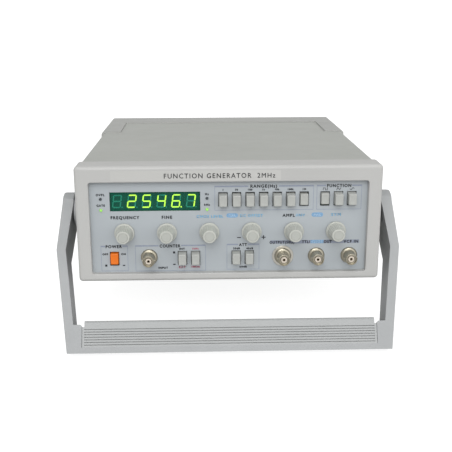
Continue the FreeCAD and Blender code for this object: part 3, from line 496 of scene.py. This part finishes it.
def make_knob(name):
    """A fluted knob on a skirt, with a smooth disc let into its front."""
    node = "knob_" + name
    low, high = case_box(node)
    x = (low.x + high.x) / 2
    z = (low.z + high.z) / 2
    front = low.y
    skirt_radius = (high.x - low.x) / 2
    skirt_back = PANEL_Y - SKIRT_GAP
    skirt_front = skirt_back - SKIRT_THICKNESS
    profile = [(skirt_back, KNOB_BASE - 0.7), (skirt_back, skirt_radius - 0.2)]
    profile += [(skirt_back - 0.3, skirt_radius), (skirt_front + SKIRT_EDGE, skirt_radius)]
    profile += arc(skirt_front + SKIRT_EDGE, skirt_radius - SKIRT_EDGE, SKIRT_EDGE, 0, 90)[1:]
    profile += [(skirt_front, KNOB_BASE + 0.25), (skirt_front - 0.15, KNOB_BASE + 0.05)]
    first_fluted = len(profile)
    start = skirt_front - 0.4
    finish = front + KNOB_TIP_ROUND
    for i in range(BODY_ROWS + 1):
        share = i / BODY_ROWS
        profile.append((start + (finish - start) * share, KNOB_BASE + (KNOB_TIP - KNOB_BASE) * share))
    last_fluted = len(profile) - 1
    profile += arc(finish, KNOB_TIP - KNOB_TIP_ROUND, KNOB_TIP_ROUND, 0, 90, TIP_ROWS)[1:]
    profile += [(front, DISC_RADIUS + 0.16), (front + 0.2, DISC_RADIUS + 0.1)]
    profile += [(front + 0.6, DISC_RADIUS + 0.08)]

    def fluted(row, radius, angle):
        if row < first_fluted or row > last_fluted + FADING_ROWS:
            return radius
        fade = 1.0 if row <= last_fluted else 1 - (row - last_fluted) / (FADING_ROWS + 1)
        groove = (0.5 - 0.5 * math.cos(FLUTES * angle)) ** 2
        return radius - FLUTE_DEPTH * fade * groove

    bm = bmesh.new()
    add_lathe(bm, profile, x, z, FLUTES * STEPS_PER_FLUTE, fluted)
    add_piece(node + "_body", bm, node, KNOB, [node], 50.0)
    bm = bmesh.new()
    disc = [(front + 0.7, DISC_RADIUS + 0.04), (front + 0.15, DISC_RADIUS)]
    disc += [(front + 0.04, DISC_RADIUS - 0.1), (front + 0.02, DISC_RADIUS - 0.4)]
    disc += [(front + 0.08, DISC_RADIUS * 0.5), (front + 0.1, 0)]
    add_lathe(bm, disc, x, z, 96)
    add_piece(node + "_disc", bm, node, KNOB_CAP)
    bm = bmesh.new()
    shaft = front + SHAFT_SETBACK
    profile = [(shaft, 0), (shaft, SHAFT_RADIUS), (high.y, SHAFT_RADIUS), (high.y, 0)]
    add_lathe(bm, profile, x, z, 48)
    add_piece(node + "_shaft", bm, node, STEEL)


# ---------------------------------------------------------------- coaxial jacks

JACK_BORE = 4.05
JACK_BARREL = 4.85
JACK_THREAD = 4.7
JACK_FLANGE = 7.0
JACK_SHOULDER = 5.1
JACK_RIM = 0.35
JACK_SOCKET = 2.95
FLANGE_THICKNESS = 2.0
FLANGE_EDGE = 0.4
FLANGE_DOME = 1.6
DOME_STEPS = 9
BORE_STEP = 1.4
WASHER_THICKNESS = 0.8
WASHER_RADIUS = 8.9
LUG_SETBACK = 4.0
LUG_STEPS = 20
INSULATOR_RADIUS = 2.6
INSULATOR_SETBACK = 1.0
CONTACT_SETBACK = 1.4


def jack_places():
    """The jacks' centres across, their height and their mouths' place, from the shells' vertices."""
    spots = sorted(spot.x for spot in case_spots("bnc_shells"))
    groups = [[spots[0]]]
    for spot in spots[1:]:
        if spot - groups[-1][-1] > JACK_BARREL:
            groups.append([])
        groups[-1].append(spot)
    low, high = case_box("bnc_shells")
    return [(group[0] + group[-1]) / 2 for group in groups], (low.z + high.z) / 2, low.y


def make_jack(name, x, z, mouth):
    """Shell with flange and lugs, insulator and centre contact."""
    seat = PANEL_Y - (WASHER_THICKNESS if name == "output" else 0)
    face = seat - FLANGE_THICKNESS
    outline = [(seat, JACK_THREAD), (seat, JACK_FLANGE - 0.15), (seat - 0.15, JACK_FLANGE)]
    outline += [(seat - FLANGE_EDGE, JACK_FLANGE)]
    for i in range(1, DOME_STEPS + 1):
        turn = math.radians(90 * i / DOME_STEPS)
        outline.append((seat - FLANGE_EDGE - FLANGE_DOME * math.sin(turn),
                        JACK_SHOULDER + (JACK_FLANGE - JACK_SHOULDER) * math.cos(turn)))
    outline += [(face - 0.1, JACK_BARREL + 0.1), (face - 0.3, JACK_BARREL)]
    outline += [(mouth + 3.0, JACK_BARREL), (mouth + 2.85, JACK_BARREL - 0.15)]
    outline += [(mouth + 2.1, JACK_BARREL - 0.15), (mouth + 1.95, JACK_BARREL)]
    outline += [(mouth + JACK_RIM, JACK_BARREL)]
    outline += arc(mouth + JACK_RIM, JACK_BARREL - JACK_RIM, JACK_RIM, 0, 90)[1:]
    outline += [(mouth, JACK_BORE + 0.2), (mouth + 0.2, JACK_BORE), (mouth + BORE_STEP, JACK_BORE)]
    outline += [(mouth + BORE_STEP + 0.2, JACK_BORE - 0.2), (mouth + BORE_STEP + 0.2, JACK_SOCKET)]
    outline += [(seat + 9, JACK_SOCKET), (seat + 9, JACK_THREAD), (seat, JACK_THREAD)]
    bm = bmesh.new()
    add_lathe(bm, outline, x, z, 96)
    for side in (-1, 1):
        add_lug(bm, x, mouth + LUG_SETBACK, z, side)
    add_piece("jack_" + name + "_shell", bm, "case", NICKEL, ["bnc_shells"], 30.0)
    bm = bmesh.new()
    front = mouth + INSULATOR_SETBACK
    ring = [(face + 4, INSULATOR_RADIUS), (front + 0.2, INSULATOR_RADIUS)]
    ring += [(front, INSULATOR_RADIUS - 0.2), (front, 1.35), (front + 0.15, 1.15), (front + 6, 1.12)]
    add_lathe(bm, ring, x, z, 64)
    add_piece("jack_" + name + "_insulator", bm, "case", INSULATOR, ["bnc_insulators"])
    bm = bmesh.new()
    tip = mouth + CONTACT_SETBACK
    contact = [(tip + 12, 1.1), (tip + 0.15, 1.1), (tip, 1.0), (tip, 0.8), (tip + 0.1, 0.7)]
    contact += [(tip + 5, 0.7), (tip + 5, 0)]
    add_lathe(bm, contact, x, z, 48)
    add_piece("jack_" + name + "_contact", bm, "case", BRASS, ["bnc_contacts"])


def add_lug(bm, x, y, z, side):
    """A bayonet lug: a short stub with a rounded end, across the barrel."""
    profile = [(4.5, 1.0), (5.2, 1.0), (5.42, 0.85), (5.5, 0.6), (5.5, 0.0)]
    rings = []
    for reach, radius in profile:
        ring = []
        for i in range(LUG_STEPS if radius else 1):
            angle = TAU * i / LUG_STEPS
            ring.append(bm.verts.new((x + side * reach, y + radius * math.cos(angle),
                                      z + radius * math.sin(angle))))
        rings.append(ring)
    for near, far in zip(rings, rings[1:]):
        for i in range(LUG_STEPS):
            j = (i + 1) % LUG_STEPS
            corners = [near[i % len(near)], near[j % len(near)], far[j % len(far)], far[i % len(far)]]
            bm.faces.new(list(dict.fromkeys(corners)))


def make_washer(x, z):
    """The flat washer under the main output's flange."""
    front = PANEL_Y - WASHER_THICKNESS
    bore = JACK_THREAD + 0.05
    ring = [(PANEL_Y, bore), (PANEL_Y, WASHER_RADIUS - 0.1), (PANEL_Y - 0.15, WASHER_RADIUS)]
    ring += [(front + 0.2, WASHER_RADIUS), (front, WASHER_RADIUS - 0.25), (front, bore), (PANEL_Y, bore)]
    bm = bmesh.new()
    add_lathe(bm, ring, x, z, 96)
    add_piece("output_washer_ring", bm, "case", WASHER, ["output_washer"])


# ---------------------------------------------------------------- display

DIGITS_SHOWN = (" ", "2", "5", "4", "6.", "7")
SEGMENTS_OF = {"2": "abged", "5": "afgcd", "4": "fgbc", "6": "afgedc", "7": "abc", " ": ""}
DIGIT_HEIGHT = 11.2
DIGIT_WIDTH = 7.3
DIGIT_ASIDE = -1.0
DIGIT_DROP = 0.35
SEGMENT = 1.08
SEGMENT_GAP = 0.12
SEGMENT_FRONT = 0.04
SEGMENT_BACK = 0.07
MODULE_FRONT = 0.06
DOT_HALF = 0.6
DOT_ASIDE = 0.4
SLANT = math.tan(math.radians(8))
MODULE_WIDTH = 12.0


def segment_outline(letter):
    """A hexagonal bar of a seven-segment figure, round the figure's middle."""
    half_w = (DIGIT_WIDTH - SEGMENT) / 2
    half_h = (DIGIT_HEIGHT - SEGMENT) / 2
    ends = {"a": ((-half_w, half_h), (half_w, half_h)), "g": ((-half_w, 0), (half_w, 0)),
            "d": ((-half_w, -half_h), (half_w, -half_h)), "f": ((-half_w, 0), (-half_w, half_h)),
            "b": ((half_w, 0), (half_w, half_h)), "e": ((-half_w, -half_h), (-half_w, 0)),
            "c": ((half_w, -half_h), (half_w, 0))}
    (x0, z0), (x1, z1) = ends[letter]
    t = SEGMENT / 2
    gap = SEGMENT_GAP
    if z0 == z1:
        points = [(x0 + gap, z0), (x0 + t, z0 + t), (x1 - t, z0 + t),
                  (x1 - gap, z0), (x1 - t, z0 - t), (x0 + t, z0 - t)]
    else:
        points = [(x0, z0 + gap), (x0 + t, z0 + t), (x0 + t, z1 - t),
                  (x0, z1 - gap), (x0 - t, z1 - t), (x0 - t, z0 + t)]
    return [(x + z * SLANT, z) for x, z in points]


def make_display():
    """Digit modules with raised segments behind a tinted window."""
    low, high = case_box("display_digits")
    middle_z = (low.z + high.z) / 2 - DIGIT_DROP
    pitch = (high.x - low.x - MODULE_WIDTH) / (len(DIGITS_SHOWN) - 1)
    front = low.y - SEGMENT_FRONT
    back = low.y + SEGMENT_BACK
    lit = bmesh.new()
    dark = bmesh.new()
    modules = bmesh.new()
    for i, figure in enumerate(DIGITS_SHOWN):
        x = low.x + MODULE_WIDTH / 2 + i * pitch
        outline = rounded_outline(x - MODULE_WIDTH / 2, x + MODULE_WIDTH / 2, low.z, high.z, 0.5, 3)
        add_prism(modules, outline, low.y + MODULE_FRONT, high.y)
        for letter in "abcdefg":
            on = letter in SEGMENTS_OF[figure[0]]
            points = [(x + DIGIT_ASIDE + dx, middle_z + dz) for dx, dz in segment_outline(letter)]
            add_prism(lit if on else dark, points, front, back)
        dot_x = x + DIGIT_ASIDE + DIGIT_WIDTH / 2 + DOT_ASIDE
        dot_z = middle_z - DIGIT_HEIGHT / 2 + SEGMENT / 2
        outline = rounded_outline(dot_x - DOT_HALF, dot_x + DOT_HALF,
                                  dot_z - DOT_HALF, dot_z + DOT_HALF, DOT_HALF - 0.05, 4)
        add_prism(lit if figure.endswith(".") else dark, outline, front, back)
    add_piece("digit_modules", modules, "case", DIGIT_FACE, ["display_digits"])
    add_piece("digit_segments_lit", lit, "case", LIT)
    add_piece("digit_segments_unlit", dark, "case", UNLIT)


LAMP_RADIUS = 1.15


def make_lamps():
    """Four domed lamps beside the window; the lower two are lit."""
    low, high = case_box("indicator_leds")
    base = case_box("display_board")[0].y
    dome = low.y + LAMP_RADIUS
    for x, column in ((low.x + LAMP_RADIUS, "left"), (high.x - LAMP_RADIUS, "right")):
        for z, row in ((low.z + LAMP_RADIUS, "lower"), (high.z - LAMP_RADIUS, "upper")):
            bm = bmesh.new()
            profile = [(base, LAMP_RADIUS), (dome, LAMP_RADIUS)]
            profile += arc(dome, 0, LAMP_RADIUS, 0, 90, 10)[1:-1] + [(low.y, 0)]
            add_lathe(bm, profile, x, z, 48)
            material = LAMP_LIT if row == "lower" else LAMP_DARK
            add_piece("lamp_" + column + "_" + row, bm, "case", material, ["indicator_leds"])


# ---------------------------------------------------------------- lettering and printed lines

PRINT_THICKNESS = 0.05
THIN_PRINT = 0.02
BLUE_BAND = 0.03
CAP_SHARE = 0.73
INK_SPREAD = 0.17
LETTER_SPACE = 1.25
FRAME_LINE = 0.4
FRAME_HEAD = 1.25
WAVE_LINE = 0.45
WAVE_SIZE = 1.7
# Heights of the capitals
HEADING = 2.6
SIGNAL = 2.4
OPTION = 2.3
NOTE = 1.8
VALUE = 1.6
# The title's label on the front bezel
TITLE_DROP = 7.9
TITLE_HALF = 4.2
TITLE_LEFT = -95.6
TITLE_RIGHT = 41.7
TITLE_THICKNESS = 0.08
TITLE_PRINT = {"thickness": 0.03, "spread": 0.07}
# The sheets of print and their inks, in the order in which they become pieces
SHEETS = {"legend_dark": INK_DARK, "legend_blue": INK_BLUE, "legend_red": INK_RED,
          "legend_white": INK_WHITE, "frame_lines": INK_LINE, "frame_bands": INK_BAND,
          "pull_ovals": INK_OVAL}


def text_mesh(text):
    """The font's own outline of a text, one unit high, as a mesh in its own plane."""
    curve = bpy.data.curves.new("lettering", "FONT")
    curve.body = text
    curve.align_x = "CENTER"
    curve.resolution_u = 3
    curve.space_character = LETTER_SPACE
    holder = bpy.data.objects.new("lettering", curve)
    mesh = bpy.data.meshes.new_from_object(holder)
    bpy.data.objects.remove(holder)
    bpy.data.curves.remove(curve)
    return mesh


def add_text(bm, text, x, z, height, width=None, y=None,
             thickness=PRINT_THICKNESS, spread=INK_SPREAD):
    """Prints a text on the panel with its middle at x and z. width stretches it to fit.

    The outline is laid four times, spread to each side, which gives the strokes their weight."""
    y = PANEL_Y if y is None else y
    mesh = text_mesh(text)
    xs = [vertex.co.x for vertex in mesh.vertices]
    scale = height / CAP_SHARE
    across = scale if width is None else width / (max(xs) - min(xs))
    middle = (max(xs) + min(xs)) / 2
    for aside, up in ((-spread, 0), (spread, 0), (0, -spread), (0, spread)):
        left = x + aside - middle * across
        foot = z + up - height / 2
        verts = [bm.verts.new((left + vertex.co.x * across, y - thickness,
                               foot + vertex.co.y * scale)) for vertex in mesh.vertices]
        for polygon in mesh.polygons:
            bm.faces.new([verts[i] for i in polygon.vertices])
    bpy.data.meshes.remove(mesh)


def add_strip(bm, x0, x1, z0, z1, thickness=PRINT_THICKNESS):
    add_box(bm, x0, x1, PANEL_Y - thickness, PANEL_Y, z0, z1)


def add_square(bm, x, z, half_width, half_height):
    """A printed block round its middle."""
    add_strip(bm, x - half_width, x + half_width, z - half_height, z + half_height)


def add_frame(sheets, x0, x1, z0, z1, gap_from, gap_to):
    """A printed frame round a group of controls, with a wider head line broken for its title."""
    lines = sheets["frame_lines"]
    bands = sheets["frame_bands"]
    head = FRAME_HEAD / 2
    add_strip(lines, x0, x0 + FRAME_LINE, z0, z1 - head)
    add_strip(lines, x1 - FRAME_LINE, x1, z0, z1 - head)
    add_strip(lines, x0 + FRAME_LINE, x1 - FRAME_LINE, z0, z0 + FRAME_LINE)
    add_strip(bands, x0, gap_from, z1 - head, z1 + head)
    add_strip(bands, gap_to, x1, z1 - head, z1 + head)


def add_oval(bm, x, z, width, height):
    outline = rounded_outline(x - width / 2, x + width / 2, z - height / 2, z + height / 2,
                              height / 2 - 0.01, 8)
    add_prism(bm, outline, PANEL_Y - PRINT_THICKNESS, PANEL_Y)


def add_wave(bm, points, x, z):
    """A wave symbol as a thin printed line through points in units of its size."""
    for (ax, az), (bx, bz) in zip(points, points[1:]):
        start = Vector((x + ax * WAVE_SIZE, z + az * WAVE_SIZE))
        end = Vector((x + bx * WAVE_SIZE, z + bz * WAVE_SIZE))
        along = (end - start).normalized()
        side = Vector((-along.y, along.x)) * WAVE_LINE / 2
        start = start - along * WAVE_LINE / 3
        end = end + along * WAVE_LINE / 3
        add_prism(bm, [tuple(start - side), tuple(end - side), tuple(end + side), tuple(start + side)],
                  PANEL_Y - PRINT_THICKNESS, PANEL_Y)


def print_lamp_names(sheets):
    dark = sheets["legend_dark"]
    low, high = case_box("indicator_leds")
    left = low.x + LAMP_RADIUS
    right = high.x - LAMP_RADIUS
    upper = high.z - LAMP_RADIUS + 3.6
    lower = low.z + LAMP_RADIUS + 4.1
    add_text(dark, "OVFL", left, upper, NOTE, 7.0)
    add_text(dark, "GATE", left, lower, NOTE, 6.6)
    add_text(dark, "Hz", right, upper, NOTE)
    add_text(dark, "kHz", right, lower, NOTE)


def print_knob_names(sheets):
    dark = sheets["legend_dark"]
    blue = sheets["legend_blue"]
    knob = {name: case_middle("knob_" + name) for name in KNOBS}
    title = knob["frequency"].z + 13.4
    add_text(dark, "FREQUENCY", knob["frequency"].x + 0.9, title - 0.3, HEADING, 23.2)
    add_text(dark, "FINE", knob["fine"].x + 0.3, title - 0.3, HEADING, 8.4)
    add_text(blue, "CMOS LEVEL", knob["level"].x + 0.6, title, OPTION, 21.8)
    add_text(blue, "DC OFFSET", knob["offset"].x - 0.2, title + 0.4, OPTION, 18.6)
    add_text(dark, "AMPL", knob["amplitude"].x - 4.4, title + 0.3, HEADING, 10.0)
    add_text(blue, "/INV", knob["amplitude"].x + 5.2, title + 0.4, OPTION, 7.4)
    add_text(blue, "SYM", knob["symmetry"].x - 0.2, title + 0.6, SIGNAL, 7.8)
    for x in ((knob["level"].x + knob["offset"].x) / 2 + 1.4,
              (knob["amplitude"].x + knob["symmetry"].x) / 2 + 1.8):
        add_oval(sheets["pull_ovals"], x, title + 0.6, 9.6, 3.6)
        add_text(sheets["legend_white"], "PULL", x, title + 0.6, VALUE, 5.6,
                 PANEL_Y - PRINT_THICKNESS, THIN_PRINT)
    # The minus and plus signs on the offset knob's sides
    sign_z = knob["offset"].z - 5.0
    add_square(dark, knob["offset"].x - 10.4, sign_z, 1.6, 0.35)
    add_square(dark, knob["offset"].x + 10.0, sign_z, 1.7, 0.4)
    add_square(dark, knob["offset"].x + 10.0, sign_z, 0.4, 1.7)


def print_upper_keys(sheets):
    """The frames and legends of the range keys and the function keys."""
    dark = sheets["legend_dark"]
    first = case_middle("key_range_1")
    last = case_middle("key_range_1m")
    head = first.z + 11.2
    foot = first.z - 9.0
    legend = first.z + 8.4
    middle = (first.x + last.x) / 2
    add_frame(sheets, first.x - 7.0, last.x + 7.8, foot, head, middle - 12.6, middle + 12.4)
    add_text(dark, "RANGE(Hz)", middle, head + 0.1, HEADING, 21.6)
    for name in RANGE_KEYS:
        text = name.upper() if name == "1m" else name
        add_text(dark, text, case_middle("key_range_" + name).x, legend, VALUE)
    square = case_middle("key_function_square").x
    triangle = case_middle("key_function_triangle").x
    sine = case_middle("key_function_sine").x
    add_frame(sheets, square - 7.0, sine + 8.2, foot, head, triangle - 10.4, triangle + 11.0)
    add_text(dark, "FUNCTION", triangle + 0.3, head, HEADING, 19.6)
    steps = [(-1, -0.5), (-1, 0.5), (0, 0.5), (0, -0.5), (1, -0.5), (1, 0.5)]
    add_wave(dark, steps, square, legend)
    add_wave(dark, [(-1, -0.5), (-0.5, 0.5), (0.5, -0.5), (1, 0.5)], triangle, legend)
    swing = [(i / 10 - 1, 0.5 * math.sin(math.pi * (i / 10 - 1))) for i in range(21)]
    add_wave(dark, swing, sine, legend)


def print_power_key(sheets):
    dark = sheets["legend_dark"]
    power = case_middle("key_power")
    add_frame(sheets, power.x - 11.2, power.x + 11.2, power.z - 11.0, power.z + 10.6,
              power.x - 7.4, power.x + 6.8)
    add_text(dark, "POWER", power.x - 0.3, power.z + 10.4, HEADING, 13.2)
    add_text(dark, "OFF", power.x - 7.6, power.z + 3.8, VALUE, 4.4)
    add_text(dark, "ON", power.x + 7.4, power.z + 3.8, VALUE, 3.6)
    add_square(dark, power.x - 7.2, power.z - 6.1, 0.9, 0.9)
    add_square(dark, power.x + 7.6, power.z - 6.1, 1.0, 0.5)


def print_lower_keys(sheets, counter_x, jack_z):
    """The frames and legends of the counter's and the attenuator's keys."""
    dark = sheets["legend_dark"]
    red = sheets["legend_red"]
    source = case_middle("key_counter_source")
    gate = case_middle("key_counter_gate")
    add_frame(sheets, counter_x - 11.6, gate.x + 8.4, source.z - 11.4, source.z + 10.7,
              source.x - 19.6, source.x - 0.8)
    add_text(dark, "COUNTER", source.x - 10.2, source.z + 10.5, HEADING, 17.0)
    add_text(dark, "INPUT", counter_x + 11.4, jack_z - 9.4, NOTE, 7.6)
    add_square(dark, source.x - 6.9, source.z + 4.7, 0.9, 0.9)
    add_square(dark, source.x - 6.9, source.z - 5.7, 1.0, 0.5)
    add_text(dark, "INT", source.x - 0.2, source.z + 7.8, VALUE, 4.4)
    add_text(red, "EXT", source.x - 0.2, source.z - 8.2, VALUE, 5.4)
    add_text(red, "1kHz", gate.x, source.z + 7.9, 1.5, 5.0)
    add_text(red, "100kHz", gate.x, source.z - 8.0, 1.5, 7.0)
    low_step = case_middle("key_attenuator_20db")
    high_step = case_middle("key_attenuator_40db")
    middle = (low_step.x + high_step.x) / 2
    add_frame(sheets, low_step.x - 7.9, high_step.x + 8.4, low_step.z - 10.8, low_step.z + 11.1,
              middle - 4.0, middle + 4.2)
    add_text(dark, "ATT", middle + 0.2, low_step.z + 10.9, SIGNAL, 6.4)
    add_text(dark, "20dB", low_step.x + 0.3, low_step.z + 7.7, VALUE, 5.6)
    add_text(dark, "40dB", high_step.x + 0.3, low_step.z + 7.6, VALUE, 5.6)
    add_text(dark, "60dB", middle + 0.4, low_step.z - 8.4, VALUE, 6.0)


def print_jack_names(sheets, output_x, logic_x, sweep_x, z):
    """The band over the three jacks on the right."""
    dark = sheets["legend_dark"]
    add_strip(sheets["frame_bands"], output_x - 10.4, sweep_x + 8.2, z - 1.5, z + 1.5, THIN_PRINT)
    add_text(dark, "OUTPUT(50Ω)", output_x - 0.8, z - 0.2, SIGNAL, 20.4)
    add_text(dark, "TTL/", logic_x - 8.8, z, SIGNAL, 6.4)
    add_strip(sheets["pull_ovals"], logic_x - 5.0, logic_x + 5.8, z - 1.5, z + 1.5,
              BLUE_BAND)
    add_text(sheets["legend_white"], "CMOS", logic_x + 0.4, z, NOTE, 9.0,
             PANEL_Y - BLUE_BAND, THIN_PRINT)
    add_text(dark, "OUT", logic_x + 9.4, z, SIGNAL, 6.4)
    add_text(dark, "VCF IN", sweep_x + 1.3, z, SIGNAL, 12.0)


def print_title(sheets):
    """A label on the front bezel, with what the instrument is."""
    low, high = case_box("front_bezel")
    z = high.z - TITLE_DROP
    y = low.y - TITLE_THICKNESS
    label = bmesh.new()
    outline = rounded_outline(TITLE_LEFT, TITLE_RIGHT, z - TITLE_HALF, z + TITLE_HALF, 0.8, 4)
    add_prism(label, outline, y, low.y)
    add_piece("title_label", label, "case", LABEL)
    add_text(sheets["legend_dark"], "FUNCTION GENERATOR", -17.4, z, 4.1, 70.4, y, **TITLE_PRINT)
    add_text(sheets["legend_dark"], "2MHz", 29.9, z, 4.0, 14.4, y, **TITLE_PRINT)


def make_lettering():
    sheets = {name: bmesh.new() for name in SHEETS}
    (counter_x, output_x, logic_x, sweep_x), jack_z, _ = jack_places()
    print_lamp_names(sheets)
    print_knob_names(sheets)
    print_upper_keys(sheets)
    print_power_key(sheets)
    print_lower_keys(sheets, counter_x, jack_z)
    print_jack_names(sheets, output_x, logic_x, sweep_x, jack_z + 12.0)
    print_title(sheets)
    for name, bm in sheets.items():
        add_piece(name, bm, "case", SHEETS[name])


# ---------------------------------------------------------------- screws

SCREW_SHANK = 1.5
SCREW_HEAD = 3.0
SCREW_HEAD_HEIGHT = 1.8
SCREW_REACH = 7
SCREW_STEPS = 40
RECESS_ROWS = 3


def screw_groups():
    """The screws' vertices, gathered by the screw that they belong to."""
    groups = {}
    for spot in case_spots("case_screws"):
        for key in groups:
            if (Vector(key) - Vector((spot.x, spot.z))).length < SCREW_REACH:
                groups[key].append(spot)
                break
        else:
            groups[(spot.x, spot.z)] = [spot]
    return groups.values()


def make_screws():
    """Pan-head screws with a cross recess on the back of the case."""
    bm = bmesh.new()
    for group in screw_groups():
        x = (min(p.x for p in group) + max(p.x for p in group)) / 2
        z = (min(p.z for p in group) + max(p.z for p in group)) / 2
        back = max(p.y for p in group)
        front = min(p.y for p in group)
        seat = back - SCREW_HEAD_HEIGHT
        profile = [(front, 0), (front, SCREW_SHANK), (seat, SCREW_SHANK), (seat, SCREW_HEAD)]
        profile += [(back - 1.1, SCREW_HEAD), (back - 0.5, SCREW_HEAD * 0.82)]
        profile += [(back - 0.15, SCREW_HEAD * 0.5), (back - 0.12, 0.9)]
        profile += [(back - 0.9, 0.5), (back - 1.0, 0)]
        add_lathe(bm, profile, x, z, SCREW_STEPS, cross_recess(len(profile)))
    add_piece("screw_heads", bm, "case", STEEL, ["case_screws"])


def cross_recess(rows):
    """Pulls the rings at a screw's middle into a four-pointed star."""
    def reach(row, radius, angle):
        if row < rows - RECESS_ROWS:
            return radius
        return radius * (0.55 + 1.1 * abs(math.cos(2 * angle)) ** 6)
    return reach


# ---------------------------------------------------------------- CAD nodes that keep their shape

CAD_MATERIALS = {
    BEZEL: ("front_bezel",),
    SHADED_REAR_BEZEL: ("rear_bezel",),
    COVER: ("top_cover", "bottom_cover", "rear_panel"),
    PANEL: ("front_panel",),
    WINDOW: ("display_window",),
    BOARD: ("display_board", "control_board", "main_board"),
    BLACK: ("range_switch_bank", "function_switch_bank", "lower_switch_banks", "power_switch",
            "mains_inlet", "pull_yoke_level", "pull_yoke_offset", "pull_yoke_amplitude",
            "pull_yoke_symmetry"),
    STEEL: ("potentiometers", "panel_nuts", "inlet_pins"),
    RUBBER: ("rubber_feet",),
    ALUMINIUM: ("side_rails",),
    IRON: ("transformer_core",),
    TAPE: ("transformer_coil",),
    HANDLE: ("handle_arm_right", "handle_arm_left", "handle_bar", "handle_hubs", "pivot_caps"),
    GRIP: ("handle_grip",),
}
SOFTENED = {"handle_arm_right": 1.0, "handle_arm_left": 1.0, "handle_bar": 0.5, "handle_hubs": 0.6,
            "pivot_caps": 0.6, "rubber_feet": 1.0, "mains_inlet": 0.4, "inlet_pins": 0.4,
            "side_rails": 0.4, "rear_panel": 0.2, "transformer_coil": 1.0}


def dress_cad_nodes():
    for material, nodes in CAD_MATERIALS.items():
        for node in nodes:
            data = NODES[node].data
            data.materials.clear()
            data.materials.append(material)
    for node, width in SOFTENED.items():
        soften(NODES[node], width)


# ---------------------------------------------------------------- floor, light and camera

FLOOR_SIZE = 14.0
FLOOR_GLOW = 0.85
ROOM_LIGHT = 0.5
BACKDROP_LIGHT = 1.0


def make_floor():
    """A pale, faintly lit sheet that keeps the object's shadow soft and light."""
    surface = Surface("floor_paper", linear(150, 150, 150), 0.8)
    surface.mottle(0.01, 3.0)
    surface.set(Emission_Color=(1, 1, 1, 1), Emission_Strength=FLOOR_GLOW)
    bpy.ops.mesh.primitive_plane_add(size=FLOOR_SIZE, location=(0, 2.0, 0))
    floor = bpy.context.object
    floor.name = "floor"
    floor.data.materials.append(surface.material)
    floor.visible_diffuse = False
    floor.visible_glossy = False


def sun_light(name, azimuth, elevation, strength, softness, sheen=True):
    """A distant softbox. Azimuth 0 is in front of the panel and grows to the right.

    Without sheen it lights surfaces but shows in no reflection."""
    data = bpy.data.lights.new(name, "SUN")
    data.energy = strength
    data.angle = math.radians(softness)
    light = bpy.data.objects.new(name, data)
    light.rotation_euler = (math.radians(90 - elevation), 0, math.radians(azimuth))
    light.visible_glossy = sheen
    bpy.context.scene.collection.objects.link(light)


def make_lights():
    """Soft light from all round. The room is dimmer than the backdrop that the camera sees."""
    world = bpy.data.worlds.new("studio")
    world.use_nodes = True
    tree = world.node_tree
    background = tree.nodes["Background"]
    background.inputs["Color"].default_value = (1, 1, 1, 1)
    seen = tree.nodes.new("ShaderNodeMapRange")
    seen.inputs["To Min"].default_value = ROOM_LIGHT
    seen.inputs["To Max"].default_value = BACKDROP_LIGHT
    tree.links.new(tree.nodes.new("ShaderNodeLightPath").outputs["Is Camera Ray"], seen.inputs["Value"])
    tree.links.new(seen.outputs["Result"], background.inputs["Strength"])
    bpy.context.scene.world = world
    sun_light("key_light", -10, 50, 1.55, 45)
    sun_light("fill_light", 20, 24, 0.65, 60)
    sun_light("back_light", 165, 26, 0.6, 50, False)
    sun_light("right_light", 75, 20, 0.8, 60, False)
    sun_light("left_light", -75, 20, 0.5, 60, False)
    bpy.context.scene.view_settings.view_transform = "Standard"


CAMERA_PLACE = Vector((-21.3, -605.2, 217.2))
CAMERA_PITCH = math.radians(15.76)
CAMERA_YAW = math.radians(1.754)
CAMERA_ROLL = math.radians(0.13)
CAMERA_LENS = 61.13
CAMERA_SENSOR = 36.0


def make_camera():
    """A camera placed in the case's axes, so that it keeps the viewing angle on the tilted case."""
    level = math.cos(CAMERA_PITCH)
    forward = Vector((math.sin(CAMERA_YAW) * level, math.cos(CAMERA_YAW) * level,
                      -math.sin(CAMERA_PITCH)))
    turn = forward.to_track_quat("-Z", "Y").to_matrix().to_4x4()
    turn = turn @ Matrix.Rotation(-CAMERA_ROLL, 4, "Z")
    case_turn = CASE.to_3x3().normalized().to_4x4()
    data = bpy.data.cameras.new("camera")
    data.lens = CAMERA_LENS
    data.sensor_width = CAMERA_SENSOR
    data.clip_start = 0.05
    camera = bpy.data.objects.new("camera", data)
    camera.matrix_world = Matrix.Translation(CASE @ CAMERA_PLACE) @ case_turn @ turn
    bpy.context.scene.collection.objects.link(camera)
    bpy.context.scene.camera = camera


# ---------------------------------------------------------------- the whole object

dress_cad_nodes()
for key_node in KEY_NODES:
    make_key(key_node)
for knob_name in KNOBS:
    make_knob(knob_name)
JACK_XS, JACK_Z, JACK_MOUTH = jack_places()
for jack_name, jack_x in zip(JACKS, JACK_XS):
    make_jack(jack_name, jack_x, JACK_Z, JACK_MOUTH)
make_washer(JACK_XS[JACKS.index("output")], JACK_Z)
make_display()
make_lamps()
make_lettering()
make_screws()
make_floor()
make_lights()
make_camera()
